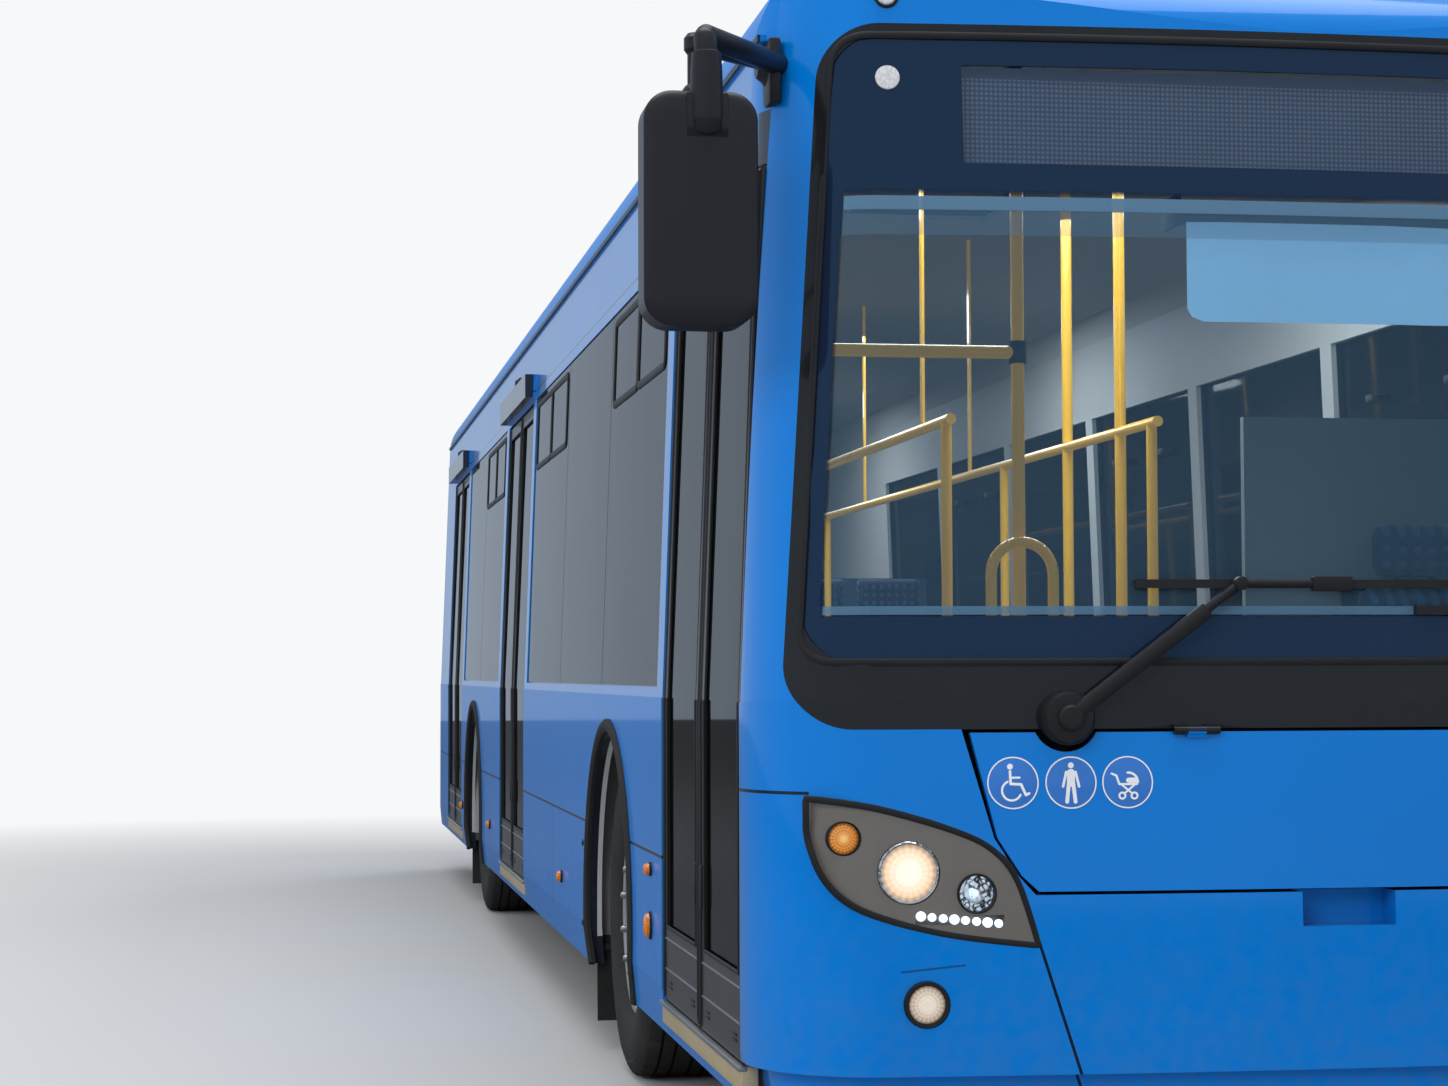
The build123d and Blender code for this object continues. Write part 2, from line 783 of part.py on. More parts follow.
# Rear end
rear_zone = block((tail_x - 100, rear_joint_x), across, (0, roof_height + 50))
rear_opening = [
    (rear_window[0][0] - glass_lap, rear_window[0][1] + glass_lap),
    (rear_window[1][0] - glass_lap, rear_window[1][1] - glass_lap),
]
lid_outline = [
    (engine_lid_outline[0][0] - lid_gap, engine_lid_outline[0][1] + lid_gap),
    (engine_lid_outline[1][0] - lid_gap, engine_lid_outline[1][1] - lid_gap),
]
tail_lamp_cut = front_prism(tail_lamp_outline, rear=True)
tail_lamp_cut = tail_lamp_cut + front_prism([(-y, z) for y, z in tail_lamp_outline], rear=True)
with BuildPart() as rear_wall:
    add(body_shell & rear_zone)
    add(rear_pane - glass_back, mode=Mode.SUBTRACT)
    add(front_prism(mirrored(rear_opening), corner=60, rear=True), mode=Mode.SUBTRACT)
    add(front_prism(engine_lid_outline, rear=True), mode=Mode.SUBTRACT)
    add(tail_lamp_cut, mode=Mode.SUBTRACT)
    for y_lid in (-lid_hinge_y, lid_hinge_y):
        for offset in (-45, 45):
            y_hinge = y_lid + offset
            add(hinge_barrel(lid_hinge_x, y_hinge, lid_hinge_z, 40))
            lug_z = (lid_hinge_z - 3, lid_hinge_z + 8)
            add(block((lid_hinge_x, tail_x + 25), (y_hinge - 20, y_hinge + 20), lug_z))
save(rear_wall.part, "rear_wall")

with BuildPart() as engine_lid:
    lid_room = block((tail_x - 60, tail_x + lid_thickness), across, (0, 2000))
    add(outer_body & front_prism(mirrored(lid_outline), rear=True) & lid_room)
    for i in range(grille_slots):
        z_slot = grille_base_height + i * grille_pitch
        slot = block(
            (tail_x - 60, tail_x + 60),
            (-grille_slot[0] / 2, grille_slot[0] / 2),
            (z_slot, z_slot + grille_slot[1]),
        )
        add(slot, mode=Mode.SUBTRACT)
    for y_hinge in (-lid_hinge_y, lid_hinge_y):
        add(hinge_barrel(lid_hinge_x, y_hinge, lid_hinge_z, 50))
        lug_z = (lid_hinge_z - 22, lid_hinge_z - 5)
        add(block((lid_hinge_x, tail_x + 25), (y_hinge - 25, y_hinge + 25), lug_z))
save(engine_lid.part, "engine_lid")

with BuildPart() as tail_lamps:
    add(lamp_body & tail_lamp_cut)
save(tail_lamps.part, "tail_lamps")

# Roof with two openings for the hatches and a rain gutter along each side
with BuildPart() as roof:
    add(body_shell & block(middle_zone, across, (cant_height, roof_height + 50)))
    gutter_y = side_line(cant_height, 0)
    for side in (-1, 1):
        add(block(middle_zone, (side * (gutter_y - 12), side * (gutter_y + 9)), (cant_height, cant_height + 14)))
    for x_hatch in roof_hatch_x:
        add(
            block(
                (x_hatch - roof_hatch_size[0] / 2, x_hatch + roof_hatch_size[0] / 2),
                (-roof_hatch_size[1] / 2, roof_hatch_size[1] / 2),
                (roof_height - 200, roof_height + 60),
            ),
            mode=Mode.SUBTRACT,
        )
        x_hinge = x_hatch + roof_hatch_size[0] / 2 + roof_hatch_lap + 16
        for y_hatch in (-roof_hinge_y, roof_hinge_y):
            for offset in (-45, 45):
                y_hinge = y_hatch + offset
                add(hinge_barrel(x_hinge, y_hinge, roof_hinge_z, 40))
                add(
                    block(
                        (x_hinge - 6, x_hinge + 22),
                        (y_hinge - 20, y_hinge + 20),
                        (roof_height - 5, roof_hinge_z),
                    )
                )
save(roof.part, "roof")

for label, x_hatch in zip(("front", "rear"), roof_hatch_x):
    half_x = roof_hatch_size[0] / 2 + roof_hatch_lap
    half_y = roof_hatch_size[1] / 2 + roof_hatch_lap
    base = roof_height + roof_hatch_lift
    with BuildPart() as hatch:
        with BuildSketch(Plane.XY.offset(base)):
            with Locations((x_hatch, 0)):
                Rectangle(2 * half_x, 2 * half_y)
        extrude(amount=roof_hatch_thickness, taper=20)
        for y_hinge in (-roof_hinge_y, roof_hinge_y):
            add(hinge_barrel(x_hatch + half_x + 16, y_hinge, roof_hinge_z, 50))
            add(
                block(
                    (x_hatch + half_x - 20, x_hatch + half_x + 16),
                    (y_hinge - 25, y_hinge + 25),
                    (roof_hinge_z, roof_hinge_z + 9),
                )
            )
    save(hatch.part, f"{label}_roof_hatch")

# Floor and wheel boxes
floor_x = (bay_front_x, mask_joint_x)
inner_y = half_width - wall
house_spans = [
    (front_axle_x, front_house_half_length, front_house_inner_y),
    (rear_axle_x, rear_house_half_length, rear_house_inner_y),
]
with BuildPart() as floor:
    add(block(floor_x, (-inner_y, inner_y), (floor_height - floor_thickness, floor_height)) & inner_body)
    for x_axle, half, y_in in house_spans:
        for side in (-1, 1):
            add(
                block((x_axle - half, x_axle + half), (side * y_in, side * 1400), (0, 1000)),
                mode=Mode.SUBTRACT,
            )
save(floor.part, "floor")

with BuildPart() as wheel_houses:
    for x_axle, half, y_in in house_spans:
        for side in (-1, 1):
            x_out = (x_axle - half - house_skin, x_axle + half + house_skin)
            y_out = (side * (y_in - house_skin), side * inner_y)
            y_void = (side * y_in, side * (inner_y + 10))
            add(block(x_out, y_out, (floor_height, house_top_height + house_skin)) & inner_body)
            add(
                block((x_axle - half, x_axle + half), y_void, (floor_height - 10, house_top_height)),
                mode=Mode.SUBTRACT,
            )
save(wheel_houses.part, "wheel_houses")

# Engine bay: bulkhead and cover under the rear bench, and the engine as one block
with BuildPart() as engine_bay:
    bulkhead = block((bay_front_x - 20, bay_front_x), (-inner_y, inner_y), (frame_top_height, bay_top_height))
    add(bulkhead & inner_body)
    cover = block((tail_x, bay_front_x), (-inner_y, inner_y), (bay_top_height - 20, bay_top_height))
    add(cover & inner_body)
save(engine_bay.part, "engine_bay")

with BuildPart() as engine:
    add(block((tail_x + 240, bay_front_x - 120), (-620, 620), (frame_top_height, 980)))
    add(block((tail_x + 420, bay_front_x - 20), (-260, 260), (frame_top_height, 700)))
save(engine.part, "engine")

# Frame rails, the cross members between and outside them, and axles
axle_top = frame_top_height - rail_height
with BuildPart() as chassis_frame:
    for side in (-1, 1):
        rail = (side * rail_y - rail_width / 2, side * rail_y + rail_width / 2)
        add(block((tail_x + rail_end, nose_x - rail_end), rail, (axle_top, frame_top_height)))
save(chassis_frame.part, "chassis_frame")

with BuildPart() as cross_members:
    member_z = (frame_top_height - member_height, frame_top_height)
    for x_member in cross_member_x:
        member_x = (x_member - member_width / 2, x_member + member_width / 2)
        add(block(member_x, (-rail_y + rail_width / 2, rail_y - rail_width / 2), member_z))
        for side in (-1, 1):
            outrigger_y = (side * (rail_y + rail_width / 2), side * (inner_y - 25))
            add(block(member_x, outrigger_y, member_z))
save(cross_members.part, "cross_members")

rear_hub_end_y = rear_house_inner_y + 150
with BuildPart() as axles:
    for x_axle, y_end in ((front_axle_x, kingpin_y), (rear_axle_x, rear_house_inner_y + 70)):
        add(block((x_axle - 55, x_axle + 55), (-y_end + 55, y_end - 55), (axle_drop_height, axle_top - 20)))
        for side in (-1, 1):
            pad_y = (side * rail_y - 40, side * rail_y + 40)
            add(block((x_axle - 70, x_axle + 70), pad_y, (axle_top - 30, axle_top)))
    for side in (-1, 1):
        y_post = (side * (kingpin_y - 115), side * (kingpin_y - 60))
        y_lug = (side * (kingpin_y - 115), side * (kingpin_y + lug_reach))
        post_x = (front_axle_x - 45, front_axle_x + 45)
        lug_x = (front_axle_x - lug_half_width, front_axle_x + lug_half_width)
        add(block(post_x, y_post, (axle_drop_height, tyre_radius + 160)))
        add(block(lug_x, y_lug, (tyre_radius - 160, tyre_radius - 128)))
        add(block(lug_x, y_lug, (tyre_radius + 128, tyre_radius + 160)))
        y_plate = (side * (rear_house_inner_y + 10), side * (rear_house_inner_y + 70))
        add(block((rear_axle_x - 70, rear_axle_x + 70), y_plate, (axle_drop_height, tyre_radius + 90)))
        hub_start = (rear_axle_x, side * (rear_house_inner_y + 60), tyre_radius)
        add(rod(hub_start, (rear_axle_x, side * rear_hub_end_y, tyre_radius), 130))
save(axles.part, "axles")

# Wheels: each row is a name, axle position, side and the planes of its tyres
wheel_table = [
    ("front_right", front_axle_x, -1, [wheel_y]),
    ("front_left", front_axle_x, 1, [wheel_y]),
    ("rear_right", rear_axle_x, -1, [wheel_y, wheel_y - twin_spacing]),
    ("rear_left", rear_axle_x, 1, [wheel_y, wheel_y - twin_spacing]),
]


def ring(points, x_axle):
    """A solid of revolution about a wheel's axis, from (radius, y) points."""
    with BuildPart() as turned:
        with BuildSketch(Plane(origin=(x_axle, 0, tyre_radius), x_dir=(1, 0, 0), z_dir=(0, 0, 1))):
            with BuildLine():
                Polyline(*points, close=True)
            make_face()
        revolve(axis=Axis((x_axle, 0, tyre_radius), (0, 1, 0)))
    return turned.part


half_tyre = tyre_width / 2
rim_face_y = wheel_y + rim_half_width
rim_inner_radius = rim_radius - rim_lip
single_back_y = wheel_y - rim_half_width
twin_back_y = single_back_y - twin_spacing
front_profile = [
    (0, single_back_y),
    (rim_radius, single_back_y),
    (rim_radius, rim_face_y),
    (rim_inner_radius, rim_face_y),
    (rim_inner_radius, front_dish_y),
    (bolt_ring_radii[0], front_dish_y),
    (bolt_ring_radii[0], bolt_ring_y),
    (bolt_ring_radii[1], bolt_ring_y),
    (bolt_ring_radii[1], bolt_recess_y),
    (front_hub_radius, bolt_recess_y),
    (front_hub_radius, front_hub_y),
    (0, front_hub_y),
]
rear_profile = [
    (0, rear_hub_end_y),
    (rim_inner_radius, rear_hub_end_y),
    (rim_inner_radius, twin_back_y),
    (rim_radius, twin_back_y),
    (rim_radius, rim_face_y),
    (rim_inner_radius, rim_face_y),
    (rim_inner_radius, rear_dish_y),
    (rear_hub_radius, rear_dish_y),
    (rear_hub_radius, rear_hub_y),
    (0, rear_hub_y),
]
for label, x_axle, side, planes in wheel_table:
    with BuildPart() as tyre:
        for y_plane in planes:
            tyre_profile = [
                (rim_radius, y_plane - half_tyre),
                (tyre_radius, y_plane - half_tyre),
                (tyre_radius, y_plane + half_tyre),
                (rim_radius, y_plane + half_tyre),
            ]
            add(ring([(r, side * y) for r, y in tyre_profile], x_axle))
    save(tyre.part, f"{label}_tyre")
    with BuildPart() as rim:
        profile = rear_profile if len(planes) == 2 else front_profile
        add(ring([(r, side * y) for r, y in profile], x_axle))
    save(rim.part, f"{label}_wheel")

for label, side in (("right", -1), ("left", 1)):
    with BuildPart() as knuckle:
        with Locations((front_axle_x, side * kingpin_y, tyre_radius)):
            Cylinder(36, 2 * 128)
        spindle_end = (front_axle_x, side * single_back_y, tyre_radius)
        add(rod((front_axle_x, side * kingpin_y, tyre_radius), spindle_end, 42))
    save(knuckle.part, f"{label}_knuckle")

# Passenger doors: two leaves for each doorway, turning inwards about posts at the jambs
door_table = []
for name, distance in door_jambs.items():
    front_jamb = nose_x - distance
    door_table.append((f"{name}_door_front_leaf", front_jamb, -1))
    door_table.append((f"{name}_door_rear_leaf", front_jamb - door_width, 1))

leaf_z = (door_sill_height + leaf_lift, door_top_height - leaf_lift)
leaf_back_y = half_width - door_inset - leaf_thickness
for label, jamb, direction in door_table:
    axis_x = jamb + direction * leaf_axis_inset
    hinge_edge = axis_x - direction * (leaf_axis_inset - leaf_gap)
    free_outer = axis_x + direction * leaf_reach_outer
    free_inner = axis_x + direction * leaf_reach_inner
    with BuildPart() as leaf:
        add(side_strip((hinge_edge, free_inner), leaf_z, door_inset, leaf_thickness, -1))
        # The free edge is bevelled so that the two leaves clear each other as they turn
        with BuildSketch(Plane.XY.offset(leaf_z[0] - 10)):
            with BuildLine():
                Polyline(
                    (free_outer, -half_width),
                    (free_inner, -leaf_back_y + 8),
                    (free_inner + direction * 40, -leaf_back_y + 8),
                    (free_inner + direction * 40, -half_width),
                    close=True,
                )
            make_face()
        extrude(amount=3000, mode=Mode.SUBTRACT)
        glass_x = (hinge_edge + direction * leaf_frame, free_outer - direction * leaf_frame)
        glass_z = (leaf_glass_base, leaf_z[1] - leaf_frame)
        add(block(glass_x, (-1400, -1000), glass_z), mode=Mode.SUBTRACT)
        for z_arm in (leaf_z[0], leaf_z[1] - door_arm_height):
            arm_back_y = side_line(z_arm, door_inset + leaf_thickness - 5)
            add(block((axis_x - 8, axis_x + 8), (-arm_back_y, -door_axis_y), (z_arm, z_arm + door_arm_height)))
        add(
            rod(
                (axis_x, -door_axis_y, floor_height),
                (axis_x, -door_axis_y, door_top_height),
                door_post_radius,
            )
        )
    save(leaf.part, label)
    with BuildPart() as glass:
        add(side_strip(glass_x, glass_z, door_inset + 6, leaf_glass_thickness, -1))
    save(glass.part, f"{label}_glass")

# Mirrors, one on each side, hung from an arm at the top of the corner pillar
with BuildPart() as mirrors:
    for side in (-1, 1):
        y_head = side * mirror_y
        head_plane = Plane(
            origin=(mirror_x - mirror_depth / 2, y_head, mirror_z), x_dir=(0, 1, 0), z_dir=(1, 0, 0)
        )
        with BuildSketch(head_plane):
            RectangleRounded(mirror_width, mirror_height, mirror_corner)
        extrude(amount=mirror_depth)
        knee = (mirror_x - 10, y_head, mirror_z + mirror_height / 2 + 110)
        add(rod((mirror_x - 10, y_head, mirror_z + mirror_height / 2 - 10), knee, mirror_arm_radius))
        add(rod(knee, (mirror_x - 270, side * (half_width - 115), 2545), mirror_arm_radius))
        add(outer_body, mode=Mode.SUBTRACT)
save(mirrors.part, "mirrors")

# Dashboard, sign and cab
with BuildPart() as dashboard:
    dash_z = (screen_base_height + 5, dash_top_height)
    shelf = block((nose_x - dash_depth, nose_x), (-540, 1150), dash_z)
    shelf = shelf + block((dash_door_x, nose_x), (-1150, -540), dash_z)
    add(shelf & inner_body)
    add(block((nose_x - 700, nose_x - 400), (60, 1150), (780, dash_top_height)))
    add(block((nose_x - 560, nose_x - 400), (60, 1150), (floor_height, 790)))
    lean = math.radians(steer_tilt)
    column_top = (steer_x + 20 * math.sin(lean), driver_y, steer_z - 20 * math.cos(lean))
    column_foot = (steer_x + 330 * math.sin(lean), driver_y, steer_z - 330 * math.cos(lean))
    add(rod(column_foot, column_top, 32))
save(dashboard.part, "dashboard")

with BuildPart() as destination_sign:
    add(block((nose_x - 300, nose_x - 230), (-820, 820), (2290, 2530)))
    for side in (-1, 1):
        bracket = block((nose_x - 300, nose_x - 270), (side * 600 - 20, side * 600 + 20), (2520, 2800))
        add(bracket & inner_body)
save(destination_sign.part, "destination_sign")

with BuildPart() as cab_partition:
    add(block((cab_rear_x, cab_rear_x + 25), (cab_side_y, inner_y), (floor_height, 1900)) & inner_body)
    add(block((cab_rear_x, cab_front_x), (cab_side_y - 25, cab_side_y), (floor_height, 1150)))
save(cab_partition.part, "cab_partition")


# Saloon furniture
def add_chair(x, y, base, rise=380):
    """One seat unit on a pedestal: x is the front of the cushion, base the height it stands on."""
    seat_y = (y - seat_width / 2, y + seat_width / 2)
    add(block((x - 430, x), seat_y, (base + rise, base + rise + 60)))
    add(block((x - 500, x - 430), seat_y, (base + rise, base + rise + 650)))
    if rise:
        add(block((x - 300, x - 180), (y - 60, y + 60), (base, base + rise)))


seat_y = inner_y - seat_width / 2 - 25
with BuildPart() as left_seats:
    for x in left_seat_x:
        add_chair(x, seat_y, floor_height)
    add_chair(rear_axle_x + 280, seat_y, house_top_height + house_skin, rise=0)
save(left_seats.part, "left_seats")

with BuildPart() as right_seats:
    for x in right_seat_x:
        add_chair(x, -seat_y, floor_height)
save(right_seats.part, "right_seats")

with BuildPart() as rear_bench:
    add(block((bay_front_x - 480, bay_front_x - 30), (-1120, 1120), (bay_top_height, bay_top_height + 90)))
    add(block((bay_front_x - 560, bay_front_x - 480), (-1120, 1120), (bay_top_height, bay_top_height + 640)))
save(rear_bench.part, "rear_bench")

with BuildPart() as driver_seat:
    add(block((driver_x - 240, driver_x + 240), (driver_y - 250, driver_y + 250), (820, 940)))
    add(block((driver_x - 340, driver_x - 240), (driver_y - 250, driver_y + 250), (820, 1620)))
    add(block((driver_x - 140, driver_x + 140), (driver_y - 120, driver_y + 120), (floor_height, 830)))
save(driver_seat.part, "driver_seat")

with BuildPart() as steering_wheel:
    tilt = Location((steer_x, driver_y, steer_z), (0, -steer_tilt, 0))
    with Locations(tilt):
        Cylinder(steer_radius, 24)
        Cylinder(steer_radius - 26, 24, mode=Mode.SUBTRACT)
        Cylinder(45, 40)
        for angle in (0, 90):
            with Locations(Location((0, 0, 0), (0, 0, angle))):
                Box(2 * steer_radius - 20, 34, 14)
save(steering_wheel.part, "steering_wheel")

with BuildPart() as handrails:
    for x, y in pole_table:
        add(rod((x, y, floor_height), (x, y, rail_top_height), pole_radius))
    for y in (-aisle_y, aisle_y):
        add(rod((rail_rear_x, y, rail_top_height), (rail_front_x + 60, y, rail_top_height), pole_radius))
        for x in rail_hanger_x:
            add(block((x - 15, x + 15), (y - 4, y + 4), (rail_top_height, ceiling_height)) & inner_body)
save(handrails.part, "handrails")

# Towing eyes, each a lug at the end of a frame rail with an upright hole for the pin
with BuildPart() as tow_eyes:
    for x_rail, direction in ((nose_x - rail_end, 1), (tail_x + rail_end, -1)):
        lug_x = (x_rail, x_rail + direction * tow_eye_size[0])
        lug_y = (-rail_y - tow_eye_size[1] / 2, -rail_y + tow_eye_size[1] / 2)
        add(block(lug_x, lug_y, (axle_top, axle_top + tow_eye_size[2])))
        with Locations((x_rail + direction * tow_eye_size[0] / 2, -rail_y, axle_top + tow_eye_size[2] / 2)):
            Cylinder(tow_eye_radius, 60, mode=Mode.SUBTRACT)
save(tow_eyes.part, "tow_eyes")
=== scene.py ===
# %% [markdown]
# # A low-floor city bus
# The solid parts of the bus come from its CAD model, which is loaded as a fixed frame. This
# lesson gives each of them a finish and adds what is too small or too soft for CAD: lamps with
# their reflectors, wheel nuts, tyre tread, rubber edges, cushions and signs.
# Everything is in metres. The bus faces +X, its left side is +Y, and the ground is z = 0.

import math

import bmesh
import bpy
from mathutils import Matrix, Vector
from mathutils.bvhtree import BVHTree


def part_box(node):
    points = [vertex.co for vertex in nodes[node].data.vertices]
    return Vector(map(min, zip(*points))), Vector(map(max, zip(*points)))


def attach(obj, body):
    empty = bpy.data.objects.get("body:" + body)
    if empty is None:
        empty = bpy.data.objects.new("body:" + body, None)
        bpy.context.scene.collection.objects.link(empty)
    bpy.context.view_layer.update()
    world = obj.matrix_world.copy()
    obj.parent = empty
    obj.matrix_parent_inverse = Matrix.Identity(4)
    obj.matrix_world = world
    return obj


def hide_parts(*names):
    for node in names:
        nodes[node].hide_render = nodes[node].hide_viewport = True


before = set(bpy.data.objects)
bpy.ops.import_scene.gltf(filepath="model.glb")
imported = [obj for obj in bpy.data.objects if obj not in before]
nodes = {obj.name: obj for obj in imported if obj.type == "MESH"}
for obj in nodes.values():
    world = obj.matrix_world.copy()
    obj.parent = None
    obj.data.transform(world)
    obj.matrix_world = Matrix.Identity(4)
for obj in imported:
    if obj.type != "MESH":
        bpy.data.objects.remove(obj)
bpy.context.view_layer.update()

# %% [markdown]
# ## Driving sizes
# The CAD model follows from a few sizes: the width, the belt above which the walls lean in, the
# bow of the nose and the places of the axles. Finishes and fittings use the same sizes by name,
# so that a painted seam or a rubber edge stays on the panel that it belongs to.

# %% Sizes that finishes and fittings share
half_width = 1.25
belt = 1.15  # height above which the walls, the nose and the tail lean in
wall_lean = 0.052 / 1.45  # metres inwards for each metre up
nose_x, nose_lean = 5.972, 0.0924
tail_x, tail_lean = -6.0, 0.029
bow_radius = 11.2  # of the nose, seen from above
roof_top, floor_top = 2.88, 0.368
front_axle, rear_axle, axle_height = 3.2, -2.76, 0.478
# places of lit lamps: distance from the middle of the bus, height
turn_lamp, main_beam, fog_lamp = (1.074, 0.869), (0.942, 0.798), (0.908, 0.527)
print("the walls lean in by", round(math.degrees(math.atan(wall_lean)), 1), "degrees")

# %% [markdown]
# ## Shader maths as Python
# A finish is a small net of nodes. Linking nodes one by one hides the sum that they make, so
# a socket is wrapped in a class whose operators add Math nodes. `1 - mask` then reads as it does
# on paper. Any other node comes from one method, which applies the settings before the values.

# %% Sockets that take part in arithmetic
class Wire:
    """An output socket on which + - * / ** and comparisons build Math nodes."""

    def __init__(self, finish, socket):
        self.finish, self.socket = finish, socket

    def maths(self, operation, *values):
        return self.finish.node("ShaderNodeMath", {"operation": operation}, *values)

    def __add__(self, other):
        return self.maths("ADD", self, other)

    def __sub__(self, other):
        return self.maths("SUBTRACT", self, other)

    def __rsub__(self, other):
        return self.maths("SUBTRACT", other, self)

    def __mul__(self, other):
        return self.maths("MULTIPLY", self, other)

    def __truediv__(self, other):
        return self.maths("DIVIDE", self, other)

    def __pow__(self, other):
        return self.maths("POWER", self, other)

    def __gt__(self, other):
        return self.maths("GREATER_THAN", self, other)

    def __lt__(self, other):
        return self.maths("LESS_THAN", self, other)

    def __neg__(self):
        return self * -1

    def __abs__(self):
        return self.maths("ABSOLUTE", self)

    __radd__ = __add__
    __rmul__ = __mul__

    def sine(self):
        return self.maths("SINE", self)

    def fraction(self):
        return self.maths("FRACT", self)

    def at_least(self, value):
        return self.maths("MAXIMUM", self, value)

    def clamp(self):
        return self.finish.node("ShaderNodeClamp", {}, self, 0.0, 1.0)


def length(across, up):
    """How far a point is from a centre, from its two offsets."""
    return (across * across + up * up) ** 0.5


def within(value, low, high):
    """1 where value lies between low and high."""
    return (value > low) * (value < high)


class Finish:
    """A material with one Principled shader called skin."""

    def __init__(self, name, **constants):
        self.material = bpy.data.materials.new(name)
        self.material.use_nodes = True
        self.tree = self.material.node_tree
        self.tree.nodes.clear()
        self.out = self.tree.nodes.new("ShaderNodeOutputMaterial")
        self.skin = self.tree.nodes.new("ShaderNodeBsdfPrincipled")
        self.tree.links.new(self.skin.outputs["BSDF"], self.out.inputs["Surface"])
        for key, value in constants.items():
            self.skin.inputs[key.replace("_", " ")].default_value = value

    def feed(self, socket, value):
        if isinstance(value, Wire):
            self.tree.links.new(value.socket, socket)
        elif isinstance(value, (tuple, list)) and len(value) == 3 and socket.type == "RGBA":
            socket.default_value = (*value, 1.0)
        else:
            socket.default_value = value

    def node(self, kind, settings, *values, out=0, **named):
        made = self.tree.nodes.new(kind)
        for key, value in settings.items():
            setattr(made, key, value)
        open_inputs = [socket for socket in made.inputs if socket.enabled]
        for socket, value in zip(open_inputs, values):
            self.feed(socket, value)
        for key, value in named.items():
            self.feed(made.inputs[key.replace("_", " ")], value)
        open_outputs = [socket for socket in made.outputs if socket.enabled]
        return Wire(self, made.outputs[out] if isinstance(out, str) else open_outputs[out])

    def place(self):
        """Object coordinates as a vector and as three wires, in metres in the frame of the bus."""
        at = self.node("ShaderNodeTexCoord", {}, out="Object")
        apart = self.tree.nodes.new("ShaderNodeSeparateXYZ")
        self.tree.links.new(at.socket, apart.inputs[0])
        return at, *(Wire(self, socket) for socket in apart.outputs)

    def noise(self, at, scale, detail=3.0):
        return self.node("ShaderNodeTexNoise", {}, Vector=at, Scale=scale, Detail=detail, out="Fac")

    def cells(self, at, scale):
        """The distance to the nearest of many scattered points."""
        return self.node("ShaderNodeTexVoronoi", {}, Vector=at, Scale=scale, out="Distance")

    def blend(self, factor, first, second):
        """A colour between first and second."""
        return self.node("ShaderNodeMix", {"data_type": "RGBA"}, factor, first, second)

    def bump(self, height, strength, distance):
        sizes = {"Height": height, "Strength": strength, "Distance": distance}
        self.set("Normal", self.node("ShaderNodeBump", {}, out="Normal", **sizes))

    def set(self, name, value):
        self.feed(self.skin.inputs[name], value)

    def finished(self, colour, roughness, relief=None, strength=0.0, distance=0.0):
        """The material, once it has a colour, a roughness and perhaps a relief."""
        self.set("Base Color", colour)
        self.set("Roughness", roughness)
        if relief:
            self.bump(relief, strength, distance)
        return self.material


# %% [markdown]
# ## Paint
# The body is painted a saturated blue under clear lacquer. Real paint is never one flat colour:
# it is a little deeper in some panels, it has the fine ripple called orange peel, and road dust
# settles low down on the skirts. Panels meet in thin dark seams, which are lines in the paint
# here, because a real seam is too thin to be worth solid geometry.
#
# The CAD panels have an inside as well, which is lined or undersealed and not blue. A sum over
# the coordinates finds it: whatever lies deeper than the skin is inside.

# %% What lies behind the skin
def behind_skin(x, y, z, depth):
    """1 where a point lies deeper in the wall than depth, so that the inside can be lined."""
    half = abs(y)
    above = (z - belt).at_least(0.0)

    def drop(distance, start, run):
        """How far the roof has fallen, first gently and then steeply, on its way to an edge."""
        part = ((distance - start) / run).at_least(0.0)
        return part * part * 0.12 + part**12 * 0.16

    def round_off(radius):
        """How far a round corner lies behind the flat of the nose or the tail."""
        past = (half + above * wall_lean - (half_width - radius)).at_least(0.0)
        return radius - ((radius - depth) ** 2 - past * past).at_least(0.0) ** 0.5

    to_side, to_nose, to_tail = drop(half, 0.69, 0.505), drop(x, 4.943, 0.895), drop(-x, 5.383, 0.575)
    fall = to_side.at_least(to_nose).at_least(to_tail)
    nose = nose_x - above * nose_lean - half * half / (2 * bow_radius) - round_off(0.28)
    tail = tail_x + above * tail_lean + round_off(0.20)
    walls = half < half_width - depth - above * wall_lean
    return walls * (z < roof_top - depth - fall) * (x < nose) * (x > tail)


# %% Blue lacquer with dust and seams
deep_blue, light_blue = (0.0, 0.155, 0.545), (0.0, 0.190, 0.640)
# The second colour below is the dark of the seams, and on the front also painted shade along a crease.
road_dust, seam_dark_and_crease_shade, covering_black = (0.13, 0.14, 0.15), (0.004, 0.006, 0.012), (0.014, 0.014, 0.015)
saloon_lining, cab_lining, underseal = (0.46, 0.47, 0.47), (0.018, 0.020, 0.024), (0.02, 0.02, 0.021)
cab_front = 5.33  # the inside is black ahead of this


